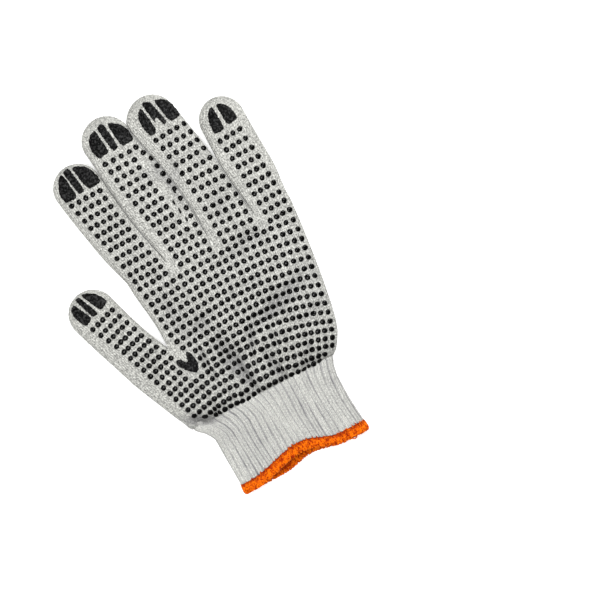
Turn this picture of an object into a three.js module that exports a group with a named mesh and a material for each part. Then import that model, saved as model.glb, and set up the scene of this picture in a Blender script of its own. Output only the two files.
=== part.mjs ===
import * as THREE from "three";

// Left-hand cotton work glove lying palm up on its back, with the fingers together and the thumb out.
// Millimetres, +Z up, +Y towards the fingertips, x = 0 in the middle of the knuckle row while it is built.

// Knitted hand
const HAND_WIDTH = 107; // across the four finger roots
const LOWER_PALM_LENGTH = 47.5; // wrist row to the row where the thumb leaves
const UPPER_PALM_LENGTH = 44.7; // thumb row to the finger roots
const PALM_THICKNESS = 13;
const WRIST_THICKNESS = 12;
const HAND_WALL = 1.6;
const THUMB_ROOT_WIDTH = 28.9;
const THUMB_ROOT_TURN = 22.6; // degrees that the thumb's root row climbs towards the fingers
const PALM_SQUARENESS = 5; // superellipse power of the palm's section
const FINGER_LENGTH = 94.8; // of the longest finger
const FINGER_WIDTH = 28; // across a finger that lies flat
const FINGER_THICKNESS = 12.2;
const THUMB_LENGTH = 61;
const TIP_CAP = 14; // length of each digit's round end
const SECTION_GAP = 0.3; // between two knitted sections that meet
const CREASE_GAP = 0.5; // between two fingers that lie side by side

// Ribbed wrist
const CUFF_LENGTH = 41.5; // wrist row to the hem at the cuff's sides
const CUFF_THICKNESS = 12;
const CUFF_WALL = 2.2;
const RIB_COUNT = 40;
const RIB_HEIGHT = 0.9;
const MOUTH_ARCH_PALM = 6.5; // how far the mouth's palm side is pulled up
const MOUTH_ARCH_BACK = 3.2;
// Where each arch peaks and how far it reaches to either side, as shares of the cuff's half width.
const MOUTH_ARCH_SHAPE = {
  palm: { peak: 0.02, leftReach: 0.9, rightReach: 0.62 },
  back: { peak: 0.12, leftReach: 0.5, rightReach: 0.5 },
};

// Overlocked hem
const HEM_WIDTH = 6.2;
const HEM_THICKNESS = 3.4;

// Rubbery grips on the fingertips and in the thumb crotch
const GRIP_THICKNESS = 0.6;
const GRIP_GAP = 0.3;
const CROTCH_GRIP_WIDTH = 4.6;

// Section details shared by all tubes
const MIDDLE_SHARE = 0.45; // height of the widest line, as a share of the thickness
const FLOOR_FLATNESS = 1.35; // over 1 the underside is flat where it rests
const FOLD_HOLD_POWER = 6; // how close to a section's sides its dents keep their depth
const HEM_SQUARENESS = 0.6; // under 1 the hem's round section turns towards a box
const CUFF_HALF_SHARE = 0.38; // the cuff's half width as a share of HAND_WIDTH, for sharing out its girth

// Meshing
const DIGIT_ARC = 8; // steps over the top of a digit's section, and as many under it
const PALM_TOP_ARC = 30;
const PALM_BACK_ARC = 18;
const CUFF_STEPS_PER_RIB = 3;
const GIRTH_SAMPLES = 400; // fine steps used to share out a section's girth evenly
const LEAN_STEPS = 8; // steps along a digit's curved centre line
const OUTLINE_STEPS = 40; // steps along a digit's plan outline
const SURFACE_STEP = 0.004; // small share used to find which way a surface faces
const HEM_STATIONS = 56;
const HEM_SIDES = 8;

const KNUCKLE_ROW = LOWER_PALM_LENGTH + UPPER_PALM_LENGTH;

// Digits. from and to are where the root begins and ends on the knuckle row, as shares of HAND_WIDTH.
// length is a share of FINGER_LENGTH, or of THUMB_LENGTH, midWidth and tipWidth of FINGER_WIDTH and
// thickness of FINGER_THICKNESS. Leans are degrees to the left of +Y, at the root and at the tip.
const FINGERS = [
  { name: "index_finger", from: -0.499, to: -0.255, length: 0.827, midWidth: 0.993, tipWidth: 1.021,
    thickness: 0.984, rootLean: 14, tipLean: 7 },
  { name: "middle_finger", from: -0.255, to: 0.011, length: 0.998, midWidth: 1.232, tipWidth: 1.043,
    thickness: 1.016, rootLean: 8, tipLean: 9.4 },
  { name: "ring_finger", from: 0.011, to: 0.287, length: 1, midWidth: 0.979, tipWidth: 1.057,
    thickness: 1, rootLean: 4, tipLean: 15.4 },
  { name: "little_finger", from: 0.287, to: 0.501, length: 0.766, midWidth: 0.964, tipWidth: 0.95,
    thickness: 0.951, rootLean: 4, tipLean: -1 },
].map((finger) => sized(finger, FINGER_LENGTH));
const THUMB = sized({ name: "thumb", length: 1, midWidth: 1.021, tipWidth: 1.014, thickness: 1,
  rootLean: THUMB_ROOT_TURN, tipLean: 15 }, THUMB_LENGTH);
const ROOT_TURN_SHARE = 0.3; // a finger's sections turn square to its lean over this share of its length
const MID_SHARE = 0.42; // where a digit has its middle width
const DIGIT_SQUARENESS = { root: 3.6, body: 2.5, tip: 2.2 };
const DIGIT_STATIONS = [0, 0.07, 0.2, 0.38, 0.58, 0.79, 1]; // shares of the length below the round cap
const CAP_ANGLES = [24, 45, 63, 78]; // degrees round the cap

// Rows of the lower palm. out is from the hand's middle as a share of HAND_WIDTH, up is a share of
// LOWER_PALM_LENGTH, bend is how much of the thumb corner's rise the row has.
const LOWER_PALM_ROWS = [
  { leftOut: -0.542, leftUp: 0, rightOut: 0.308, rightUp: 0, bend: 0, puff: 0.93 },
  { leftOut: -0.563, leftUp: 0.04, rightOut: 0.336, rightUp: 0.045, bend: 0.02, puff: 0.97 },
  { leftOut: -0.58, leftUp: 0.105, rightOut: 0.362, rightUp: 0.125, bend: 0.05, puff: 1 },
  { leftOut: -0.602, leftUp: 0.195, rightOut: 0.391, rightUp: 0.235, bend: 0.12, puff: 1 },
  { leftOut: -0.625, leftUp: 0.31, rightOut: 0.41, rightUp: 0.36, bend: 0.24, puff: 1 },
  { leftOut: -0.648, leftUp: 0.425, rightOut: 0.423, rightUp: 0.49, bend: 0.38, puff: 1 },
  { leftOut: -0.671, leftUp: 0.54, rightOut: 0.434, rightUp: 0.62, bend: 0.56, puff: 1 },
  { leftOut: -0.694, leftUp: 0.655, rightOut: 0.446, rightUp: 0.79, bend: 0.77, puff: 1 },
  { leftOut: -0.716, leftUp: 0.768, rightOut: 0.458, rightUp: 0.97, bend: 1, puff: 1 },
];
const PUCKER_COUNT = 9; // gathers across the palm side just above the ribbing
const PUCKER_DEPTH = 0.9;
const PUCKER_REACH = 0.28; // share of the lower palm that they fade over

// Rows of the upper palm, up as a share of UPPER_PALM_LENGTH above the thumb row.
const UPPER_PALM_ROWS = [
  { leftOut: -0.466, leftUp: 0.012, rightOut: 0.458, rightUp: -0.032, puff: 1 },
  { leftOut: -0.465, leftUp: 0.17, rightOut: 0.467, rightUp: 0.14, puff: 1 },
  { leftOut: -0.468, leftUp: 0.35, rightOut: 0.476, rightUp: 0.33, puff: 1 },
  { leftOut: -0.477, leftUp: 0.54, rightOut: 0.485, rightUp: 0.53, puff: 1 },
  { leftOut: -0.488, leftUp: 0.71, rightOut: 0.492, rightUp: 0.71, puff: 0.99 },
  { leftOut: -0.495, leftUp: 0.86, rightOut: 0.497, rightUp: 0.86, puff: 0.97 },
  { leftOut: -0.499, leftUp: 1, rightOut: 0.501, rightUp: 1, puff: 0.96 },
];

// Rows of the cuff, down as a share of CUFF_LENGTH.
const CUFF_ROWS = [
  { leftOut: -0.54, rightOut: 0.306, down: 0.004, puff: 0.97 },
  { leftOut: -0.5, rightOut: 0.287, down: 0.12, puff: 1 },
  { leftOut: -0.475, rightOut: 0.276, down: 0.28, puff: 1 },
  { leftOut: -0.472, rightOut: 0.277, down: 0.62, puff: 0.98 },
  { leftOut: -0.466, rightOut: 0.29, down: 1, puff: 1 },
];

// Dents (depth over 0) and bulges (under 0) of the palm side. x is a share of HAND_WIDTH from the
// middle, y a share of KNUCKLE_ROW above the wrist, long and wide are shares of HAND_WIDTH,
// turn is degrees from +X, depth is a share of PALM_THICKNESS.
const FOLDS = [
  { x: 0.18, y: 0.46, turn: 17, long: 0.2, wide: 0.045, depth: 0.1 },
  { x: -0.155, y: 0.21, turn: 98, long: 0.17, wide: 0.05, depth: 0.11 },
  { x: 0.022, y: 0.09, turn: 90, long: 0.07, wide: 0.024, depth: 0.08 },
  { x: 0.205, y: 0.1, turn: 70, long: 0.06, wide: 0.022, depth: 0.07 },
  { x: -0.365, y: 0.68, turn: 92, long: 0.13, wide: 0.05, depth: 0.06 },
  { x: 0.18, y: 0.88, turn: 5, long: 0.1, wide: 0.045, depth: 0.06 },
  { x: -0.49, y: 0.035, turn: -28, long: 0.12, wide: 0.035, depth: 0.13 },
  { x: 0.045, y: 0.29, turn: 60, long: 0.09, wide: 0.06, depth: -0.07 },
  { x: -0.215, y: 0.1, turn: 90, long: 0.08, wide: 0.035, depth: -0.06 },
  { x: 0.16, y: 0.06, turn: 10, long: 0.12, wide: 0.04, depth: -0.06 },
  { x: 0.0, y: 0.63, turn: 75, long: 0.12, wide: 0.035, depth: -0.06 },
  { x: -0.1, y: 1.53, turn: -22, long: 0.13, wide: 0.04, depth: 0.1 },
  { x: 0.15, y: 1.17, turn: 70, long: 0.08, wide: 0.04, depth: 0.06 },
];

// Tip grips. from and to are shares of the half width, low and high are shares of TIP_CAP below the tip.
const TIP_GRIPS = [
  { digit: "index_finger", part: "left", from: -0.72, to: -0.3, low: 1.29, high: 0.19 },
  { digit: "index_finger", part: "middle", from: -0.24, to: 0.12, low: 1.29, high: 0.13 },
  { digit: "index_finger", part: "right", from: 0.18, to: 0.84, low: 1.29, high: 0.19 },
  { digit: "middle_finger", part: "left", from: -0.66, to: -0.16, low: 1.54, high: 0.36 },
  { digit: "middle_finger", part: "middle", from: -0.09, to: 0.22, low: 1.54, high: 0.31 },
  { digit: "middle_finger", part: "right", from: 0.29, to: 0.92, low: 1.54, high: 0.36 },
  { digit: "ring_finger", part: "left", from: -0.42, to: -0.1, low: 1.61, high: 0.37 },
  { digit: "ring_finger", part: "middle", from: -0.04, to: 0.3, low: 1.61, high: 0.33 },
  { digit: "ring_finger", part: "right", from: 0.38, to: 0.9, low: 1.61, high: 0.4 },
  { digit: "little_finger", part: "left", from: -0.62, to: -0.08, low: 1.36, high: 0.33 },
  { digit: "little_finger", part: "right", from: 0.04, to: 0.66, low: 1.36, high: 0.33 },
  { digit: "thumb", part: "left", from: -0.7, to: -0.26, low: 1.25, high: 0.21 },
  { digit: "thumb", part: "middle", from: -0.2, to: 0.14, low: 1.21, high: 0.11 },
  { digit: "thumb", part: "right", from: 0.2, to: 0.82, low: 1.14, high: 0.16 },
];
const TIP_GRIP_STEPS = { along: 6, across: 3 };

// Path of the boomerang-shaped grip in the thumb crotch: shares of the lower palm's width and length,
// with its width as a share of CROTCH_GRIP_WIDTH.
const CROTCH_GRIP_PATH = [
  { across: 0.221, up: 0.875, width: 0.43 },
  { across: 0.226, up: 0.845, width: 0.74 },
  { across: 0.241, up: 0.8, width: 0.87 },
  { across: 0.263, up: 0.77, width: 1 },
  { across: 0.28, up: 0.79, width: 0.91 },
  { across: 0.286, up: 0.84, width: 0.83 },
  { across: 0.284, up: 0.885, width: 0.48 },
];

const lerp = THREE.MathUtils.lerp;
const radians = THREE.MathUtils.degToRad;
const smooth = (value) => THREE.MathUtils.smoothstep(value, 0, 1);

// A digit with its shares turned into lengths.
function sized(digit, fullLength) {
  return {
    ...digit,
    length: digit.length * fullLength,
    midWidth: digit.midWidth * FINGER_WIDTH,
    tipWidth: digit.tipWidth * FINGER_WIDTH,
    thickness: digit.thickness * FINGER_THICKNESS,
  };
}

function mixRows(rows, share) {
  const place = THREE.MathUtils.clamp(share, 0, 1) * (rows.length - 1);
  const index = Math.min(Math.floor(place), rows.length - 2);
  const mixed = {};
  for (const column of Object.keys(rows[0])) {
    mixed[column] = lerp(rows[index][column], rows[index + 1][column], place - index);
  }
  return mixed;
}

function foldDepth(x, y) {
  let depth = 0;
  for (const fold of FOLDS) {
    const dx = x - fold.x * HAND_WIDTH;
    const dy = y - fold.y * KNUCKLE_ROW;
    const turn = radians(fold.turn);
    const along = (dx * Math.cos(turn) + dy * Math.sin(turn)) / (fold.long * HAND_WIDTH);
    const across = (dy * Math.cos(turn) - dx * Math.sin(turn)) / (fold.wide * HAND_WIDTH);
    depth += fold.depth * PALM_THICKNESS * Math.exp(-along * along - across * across);
  }
  return depth;
}

// One closed ring round a flat tube, from the right side over the top to the left and back under it.
// across runs from -1 at the left side to 1 at the right.
function ringShares(topSteps, backSteps) {
  const ring = [];
  for (let i = 0; i <= topSteps; i++) {
    ring.push({ across: Math.cos((Math.PI * i) / topSteps), top: true });
  }
  for (let i = 1; i < backSteps; i++) {
    ring.push({ across: -Math.cos((Math.PI * i) / backSteps), top: false });
  }
  return ring;
}

// Height of the section at a share of its half width, on the outside or inset by the wall.
function sectionHeight(share, thickness, squareness, inset) {
  const bulge = (1 - Math.abs(share.across) ** squareness) ** (1 / squareness);
  const middle = MIDDLE_SHARE * thickness;
  if (share.top) return middle + (thickness - middle - inset) * bulge;
  return middle - (middle - inset) * Math.min(1, FLOOR_FLATNESS * bulge);
}

// A dent lowers the palm side most in the middle of the section and not at all at its sides.
function withFolds(point, share, depthHere) {
  if (!share.top) return point;
  const hold = 1 - Math.abs(share.across) ** FOLD_HOLD_POWER;
  return new THREE.Vector3(point.x, point.y, point.z - depthHere * hold);
}

function solidOf(points, faces) {
  const geometry = new THREE.BufferGeometry().setFromPoints(points);
  geometry.setIndex(faces);
  geometry.computeVertexNormals();
  return geometry;
}

// A hollow tube from outer and inner rings, open at the first ring and open or closed at the last.
function hollowTube(outer, inner, tips) {
  const points = [...outer.flat(), ...inner.flat()];
  const faces = [];
  const count = outer[0].length;
  const innerStart = outer.length * count;
  const last = (outer.length - 1) * count;
  for (let j = 0; j < outer.length - 1; j++) {
    for (let i = 0; i < count; i++) {
      const next = (i + 1) % count;
      const a = j * count + i;
      const b = j * count + next;
      faces.push(a, a + count, b, b, a + count, b + count);
      const [c, d] = [a + innerStart, b + innerStart];
      faces.push(c, d, c + count, d, d + count, c + count);
    }
  }
  for (let i = 0; i < count; i++) {
    const next = (i + 1) % count;
    faces.push(i, next, i + innerStart, next, next + innerStart, i + innerStart);
    const [a, b] = [last + i, last + next];
    const [c, d] = [a + innerStart, b + innerStart];
    if (tips) {
      faces.push(a, points.length, b, c, d, points.length + 1);
    } else {
      faces.push(a, c, b, b, c, d);
    }
  }
  if (tips) points.push(tips.outer, tips.inner);
  return solidOf(points, faces);
}

// A solid ring from sections that close on themselves in both directions.
function closedLoop(sections) {
  const faces = [];
  const sides = sections[0].length;
  for (let k = 0; k < sections.length; k++) {
    for (let m = 0; m < sides; m++) {
      const a = k * sides + m;
      const b = ((k + 1) % sections.length) * sides + m;
      const up = (m + 1) % sides;
      const c = k * sides + up;
      const d = ((k + 1) % sections.length) * sides + up;
      faces.push(a, c, b, b, c, d);
    }
  }
  return solidOf(sections.flat(), faces);
}

// A plate that follows a surface: grid(lift) gives rows of points that far above the surface.
function plate(grid) {
  const under = grid(GRIP_GAP);
  const over = grid(GRIP_GAP + GRIP_THICKNESS);
  const rows = over.length;
  const columns = over[0].length;
  const start = rows * columns;
  const faces = [];
  const quad = (a, b, c, d) => faces.push(a, b, c, a, c, d);
  for (let j = 0; j < rows - 1; j++) {
    for (let i = 0; i < columns - 1; i++) {
      const a = j * columns + i;
      quad(a, a + 1, a + columns + 1, a + columns);
      quad(a + start, a + start + columns, a + start + columns + 1, a + start + 1);
    }
  }
  for (let i = 0; i < columns - 1; i++) {
    const far = (rows - 1) * columns + i;
    quad(i, i + start, i + start + 1, i + 1);
    quad(far, far + 1, far + start + 1, far + start);
  }
  for (let j = 0; j < rows - 1; j++) {
    const near = j * columns;
    const edge = near + columns - 1;
    quad(near, near + columns, near + columns + start, near + start);
    quad(edge, edge + start, edge + columns + start, edge + columns);
  }
  return solidOf([...over.flat(), ...under.flat()], faces);
}

// Point at a height above a surface that is given by two shares.
function lifted(surface, a, b, lift) {
  const point = surface(a, b);
  const alongA = surface(a + SURFACE_STEP, b).sub(surface(a - SURFACE_STEP, b));
  const alongB = surface(a, b + SURFACE_STEP).sub(surface(a, b - SURFACE_STEP));
  const normal = alongA.cross(alongB).normalize();
  if (normal.z < 0) normal.negate();
  return point.addScaledVector(normal, lift);
}

// Digits
function rootOf(digit) {
  if (digit === THUMB) {
    const corner = lowerPalmRow(1, THUMB_CORNER);
    const left = lowerPalmRow(1, 0);
    return { centre: corner.clone().add(left).multiplyScalar(0.5), width: left.distanceTo(corner) };
  }
  const centre = new THREE.Vector3(((digit.from + digit.to) / 2) * HAND_WIDTH, KNUCKLE_ROW, 0);
  return { centre, width: (digit.to - digit.from) * HAND_WIDTH };
}

// Centre line point, lean in radians and free half width at a distance along a digit.
function digitStation(digit, distance) {
  const root = rootOf(digit);
  const bodyLength = digit.length - TIP_CAP;
  const centre = root.centre.clone();
  const reached = Math.min(distance, digit.length);
  for (let i = 0; i < LEAN_STEPS; i++) {
    const share = ((i + 0.5) / LEAN_STEPS) * (reached / digit.length);
    const lean = radians(lerp(digit.rootLean, digit.tipLean, share));
    centre.x -= (Math.sin(lean) * reached) / LEAN_STEPS;
    centre.y += (Math.cos(lean) * reached) / LEAN_STEPS;
  }
  const along = reached / digit.length;
  const bodyShare = Math.min(reached / bodyLength, 1);
  const rootHalf = (root.width - SECTION_GAP) / 2;
  const below = lerp(rootHalf, digit.midWidth / 2, smooth(bodyShare / MID_SHARE));
  const aboveShare = smooth((bodyShare - MID_SHARE) / (1 - MID_SHARE));
  const above = lerp(digit.midWidth, digit.tipWidth, aboveShare) / 2;
  const capSine = THREE.MathUtils.clamp((reached - bodyLength) / TIP_CAP, 0, 1);
  const round = Math.sqrt(1 - capSine * capSine);
  const turned = digit === THUMB ? 1 : smooth(along / ROOT_TURN_SHARE);
  return {
    centre,
    along,
    round,
    lean: radians(lerp(digit.rootLean, digit.tipLean, along)) * turned,
    half: (bodyShare < MID_SHARE ? below : above) * round,
  };
}

// x of a digit's left (-1) or right (1) outline at a height y, or null beyond its tip.
function outlineAt(digit, side, y) {
  let before = null;
  for (let i = 0; i <= OUTLINE_STEPS; i++) {
    const station = digitStation(digit, (digit.length * i) / OUTLINE_STEPS);
    const here = {
      x: station.centre.x + side * station.half * Math.cos(station.lean),
      y: station.centre.y + side * station.half * Math.sin(station.lean),
    };
    if (before && before.y <= y && here.y >= y) {
      return lerp(before.x, here.x, (y - before.y) / Math.max(here.y - before.y, 1e-9));
    }
    before = here;
  }
  return null;
}

// Half width on one side, held back from the finger that lies against it.
function heldReach(digit, side, station) {
  const place = FINGERS.indexOf(digit);
  const neighbour = place < 0 ? undefined : FINGERS[place + side];
  if (!neighbour) return station.half;
  const y = station.centre.y + side * station.half * Math.sin(station.lean);
  const own = outlineAt(digit, side, y);
  const other = outlineAt(neighbour, -side, y);
  if (own === null || other === null) return station.half;
  const overlap = side * (own - other) + CREASE_GAP;
  return station.half - Math.max(overlap, 0) / 2;
}

function digitSquareness(station) {
  const fromRoot = smooth(station.along / ROOT_TURN_SHARE);
  const body = lerp(DIGIT_SQUARENESS.root, DIGIT_SQUARENESS.body, fromRoot);
  return lerp(DIGIT_SQUARENESS.tip, body, station.round);
}

function digitPoint(digit, station, reaches, share, inset) {
  const reach = share.across < 0 ? reaches.left : reaches.right;
  const bodyHalf = Math.max(station.half / Math.max(station.round, 0.05), 1);
  const out = share.across * reach * (1 - inset / bodyHalf);
  const thick = sectionHeight(share, digit.thickness, digitSquareness(station), inset);
  const middle = MIDDLE_SHARE * digit.thickness;
  const x = station.centre.x + out * Math.cos(station.lean);
  const y = station.centre.y + out * Math.sin(station.lean);
  const point = new THREE.Vector3(x, y, middle + (thick - middle) * station.round);
  return withFolds(point, share, foldDepth(x, y) * station.round);
}

function reachesAt(digit, station) {
  return { left: heldReach(digit, -1, station), right: heldReach(digit, 1, station) };
}

function makeDigit(digit) {
  const bodyLength = digit.length - TIP_CAP;
  const shares = ringShares(DIGIT_ARC, DIGIT_ARC);
  const distances = DIGIT_STATIONS.map((share) => ({
    outer: Math.max(share * bodyLength, SECTION_GAP / 2),
    inner: Math.max(share * bodyLength, SECTION_GAP / 2),
  }));
  for (const angle of CAP_ANGLES) {
    const sine = Math.sin(radians(angle));
    distances.push({
      outer: bodyLength + TIP_CAP * sine,
      inner: bodyLength + (TIP_CAP - HAND_WALL) * sine,
    });
  }
  const outer = [];
  const inner = [];
  for (const distance of distances) {
    const station = digitStation(digit, distance.outer);
    const reaches = reachesAt(digit, station);
    outer.push(shares.map((share) => digitPoint(digit, station, reaches, share, 0)));
    const inside = { ...station, centre: digitStation(digit, distance.inner).centre };
    inner.push(shares.map((share) => digitPoint(digit, inside, reaches, share, HAND_WALL)));
  }
  const middle = MIDDLE_SHARE * digit.thickness;
  const tipAt = (distance) => digitStation(digit, distance).centre.setZ(middle);
  const tips = { outer: tipAt(digit.length), inner: tipAt(digit.length - HAND_WALL) };
  return hollowTube(outer, inner, tips);
}

// Palm
const THUMB_CORNER = thumbCornerShare();

// Where the thumb's root row ends on the lower palm's last row, as a share of that row.
function thumbCornerShare() {
  const last = LOWER_PALM_ROWS[LOWER_PALM_ROWS.length - 1];
  const width = (last.rightOut - last.leftOut) * HAND_WIDTH;
  return (THUMB_ROOT_WIDTH * Math.cos(radians(THUMB_ROOT_TURN))) / width;
}

// Rise of the thumb corner above the straight line between the last row's ends.
function thumbCornerRise() {
  const last = LOWER_PALM_ROWS[LOWER_PALM_ROWS.length - 1];
  const climb = (last.rightUp - last.leftUp) * LOWER_PALM_LENGTH;
  return THUMB_ROOT_WIDTH * Math.sin(radians(THUMB_ROOT_TURN)) - climb * THUMB_CORNER;
}

function lowerPalmRow(length, across) {
  const row = mixRows(LOWER_PALM_ROWS, length);
  const hat = across < THUMB_CORNER ? across / THUMB_CORNER : (1 - across) / (1 - THUMB_CORNER);
  return new THREE.Vector3(
    lerp(row.leftOut, row.rightOut, across) * HAND_WIDTH,
    lerp(row.leftUp, row.rightUp, across) * LOWER_PALM_LENGTH + row.bend * thumbCornerRise() * hat,
    0,
  );
}

function pucker(length, across) {
  const fade = Math.max(0, 1 - length / PUCKER_REACH);
  const wave = 0.5 - 0.5 * Math.cos(2 * Math.PI * PUCKER_COUNT * across);
  return PUCKER_DEPTH * wave * smooth(fade);
}

function lowerPalmPoint(length, share, inset) {
  const half = ((LOWER_PALM_ROWS[0].rightOut - LOWER_PALM_ROWS[0].leftOut) * HAND_WIDTH) / 2;
  const across = (1 + share.across * (1 - inset / half)) / 2;
  const point = lowerPalmRow(length, across);
  const puff = mixRows(LOWER_PALM_ROWS, length).puff;
  const thickness = lerp(WRIST_THICKNESS, PALM_THICKNESS, smooth(length * 2)) * puff;
  point.z = sectionHeight(share, thickness, PALM_SQUARENESS, inset);
  return withFolds(point, share, foldDepth(point.x, point.y) + pucker(length, across));
}

function makeLowerPalm() {
  const shares = ringShares(PALM_TOP_ARC, PALM_BACK_ARC);
  const rows = LOWER_PALM_ROWS.length - 1;
  const ring = (length, inset, shift) =>
    shares.map((share) => lowerPalmPoint(length, share, inset).add(new THREE.Vector3(0, shift, 0)));
  const outer = [];
  const inner = [];
  for (let j = 0; j <= rows; j++) {
    const shift = j === 0 ? SECTION_GAP / 2 : j === rows ? -SECTION_GAP * 0.6 : 0;
    outer.push(ring(j / rows, 0, shift));
    inner.push(ring(j / rows, HAND_WALL, shift));
  }
  return hollowTube(outer, inner);
}

function makeUpperPalm() {
  const shares = ringShares(PALM_TOP_ARC, PALM_BACK_ARC);
  const half = HAND_WIDTH / 2;
  const outer = [];
  const inner = [];
  const lastRow = UPPER_PALM_ROWS.length - 1;
  const ring = (row, inset, shift) =>
    shares.map((share) => {
      const across = (1 + share.across * (1 - inset / half)) / 2;
      const x = lerp(row.leftOut, row.rightOut, across) * HAND_WIDTH;
      const up = lerp(row.leftUp, row.rightUp, across) * UPPER_PALM_LENGTH;
      const y = LOWER_PALM_LENGTH + up + shift;
      const z = sectionHeight(share, PALM_THICKNESS * row.puff, PALM_SQUARENESS, inset);
      return withFolds(new THREE.Vector3(x, y, z), share, foldDepth(x, y));
    });
  UPPER_PALM_ROWS.forEach((row, j) => {
    const shift = j === 0 ? SECTION_GAP / 2 : j === lastRow ? -SECTION_GAP / 2 : 0;
    outer.push(ring(row, 0, shift));
    inner.push(ring(row, HAND_WALL, shift));
  });
  return hollowTube(outer, inner);
}

// Cuff and hem. Shares round the cuff's section at even steps of its girth.
function evenShares(count) {
  const fine = ringShares(GIRTH_SAMPLES, GIRTH_SAMPLES);
  const half = CUFF_HALF_SHARE * HAND_WIDTH;
  const at = (share) => ({
    x: share.across * half,
    z: sectionHeight(share, CUFF_THICKNESS, PALM_SQUARENESS, 0),
  });
  const girth = [0];
  fine.forEach((share, i) => {
    const [here, next] = [at(share), at(fine[(i + 1) % fine.length])];
    girth.push(girth[i] + Math.hypot(next.x - here.x, next.z - here.z));
  });
  const picked = [];
  let i = 0;
  for (let k = 0; k < count; k++) {
    while (girth[i + 1] < (girth[fine.length] * k) / count) i++;
    picked.push(fine[i]);
  }
  return picked;
}

// How far the mouth's edge is drawn up at a place across it, on the palm side or the back.
function mouthArch(across, top) {
  const shape = top ? MOUTH_ARCH_SHAPE.palm : MOUTH_ARCH_SHAPE.back;
  const reach = across < shape.peak ? shape.leftReach : shape.rightReach;
  const away = Math.min(Math.abs(across - shape.peak) / reach, 1);
  return (top ? MOUTH_ARCH_PALM : MOUTH_ARCH_BACK) * (0.5 + 0.5 * Math.cos(Math.PI * away));
}

function cuffPoint(row, share, inset, down) {
  const half = ((row.rightOut - row.leftOut) * HAND_WIDTH) / 2;
  const across = (1 + share.across * (1 - inset / half)) / 2;
  const x = lerp(row.leftOut, row.rightOut, across) * HAND_WIDTH;
  const length = CUFF_LENGTH - mouthArch(share.across, share.top);
  const z = sectionHeight(share, CUFF_THICKNESS * row.puff, PALM_SQUARENESS, inset);
  return new THREE.Vector3(x, -row.down * length - down, z);
}

// The section's outward direction at a share, square to Y.
function outwardAt(row, share) {
  const out = cuffPoint(row, share, 0, 0);
  const inside = cuffPoint(row, share, CUFF_WALL, 0);
  return new THREE.Vector3(out.x - inside.x, 0, out.z - inside.z).normalize();
}

function makeCuff() {
  const shares = evenShares(RIB_COUNT * CUFF_STEPS_PER_RIB);
  const outer = [];
  const inner = [];
  for (const row of [...CUFF_ROWS].reverse()) {
    outer.push(shares.map((share, i) => {
      const valley = i % CUFF_STEPS_PER_RIB === 0 ? RIB_HEIGHT : 0;
      const point = cuffPoint(row, share, 0, 0);
      return point.addScaledVector(outwardAt(row, share), -valley);
    }));
    inner.push(shares.map((share) => cuffPoint(row, share, CUFF_WALL, 0)));
  }
  return hollowTube(outer, inner);
}

function makeHem() {
  const row = CUFF_ROWS[CUFF_ROWS.length - 1];
  const sections = evenShares(HEM_STATIONS).map((share) => {
    const centre = cuffPoint(row, share, CUFF_WALL / 2, SECTION_GAP + HEM_WIDTH / 2);
    centre.z = Math.max(centre.z, HEM_THICKNESS / 2);
    const out = outwardAt(row, share);
    const section = [];
    for (let m = 0; m < HEM_SIDES; m++) {
      const angle = ((m + 0.5) / HEM_SIDES) * 2 * Math.PI;
      const squared = (value) => Math.sign(value) * Math.abs(value) ** HEM_SQUARENESS;
      const point = centre.clone().addScaledVector(out, (squared(Math.cos(angle)) * HEM_THICKNESS) / 2);
      point.y += (squared(Math.sin(angle)) * HEM_WIDTH) / 2;
      section.push(point);
    }
    return section;
  });
  return closedLoop(sections);
}

// Grips
function makeTipGrip(grip) {
  const digit = [...FINGERS, THUMB].find((item) => item.name === grip.digit);
  const surface = (distance, across) => {
    const station = digitStation(digit, distance);
    return digitPoint(digit, station, reachesAt(digit, station), { across, top: true }, 0);
  };
  const { along, across } = TIP_GRIP_STEPS;
  return plate((lift) => {
    const rows = [];
    for (let j = 0; j <= along; j++) {
      const distance = digit.length - TIP_CAP * lerp(grip.low, grip.high, j / along);
      const row = [];
      for (let i = 0; i <= across; i++) {
        row.push(lifted(surface, distance, lerp(grip.from, grip.to, i / across), lift));
      }
      rows.push(row);
    }
    return rows;
  });
}

function makeCrotchGrip() {
  const surface = (length, across) => lowerPalmPoint(length, { across: across * 2 - 1, top: true }, 0);
  const width = (LOWER_PALM_ROWS.at(-1).rightOut - LOWER_PALM_ROWS.at(-1).leftOut) * HAND_WIDTH;
  const plan = CROTCH_GRIP_PATH.map(
    (point) => new THREE.Vector2(point.across * width, point.up * LOWER_PALM_LENGTH),
  );
  return plate((lift) =>
    CROTCH_GRIP_PATH.map((point, j) => {
      const before = plan[Math.max(j - 1, 0)];
      const after = plan[Math.min(j + 1, plan.length - 1)];
      const ahead = after.clone().sub(before).normalize();
      return [-0.5, 0, 0.5].map((side) => {
        const out = side * point.width * CROTCH_GRIP_WIDTH;
        const across = (plan[j].x + out * ahead.y) / width;
        const up = (plan[j].y - out * ahead.x) / LOWER_PALM_LENGTH;
        return lifted(surface, up, across, lift);
      });
    }),
  );
}

const cotton = new THREE.MeshStandardMaterial({ color: 0xd9d8d0, roughness: 0.95, metalness: 0 });
const ribbing = new THREE.MeshStandardMaterial({ color: 0xd6d4cb, roughness: 0.95, metalness: 0 });
const overlock = new THREE.MeshStandardMaterial({ color: 0xf06a12, roughness: 0.8, metalness: 0 });
const rubber = new THREE.MeshStandardMaterial({ color: 0x141414, roughness: 0.4, metalness: 0 });

function addPiece(group, name, geometry, material) {
  const mesh = new THREE.Mesh(geometry, material.clone());
  mesh.name = name;
  group.add(mesh);
}

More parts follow.
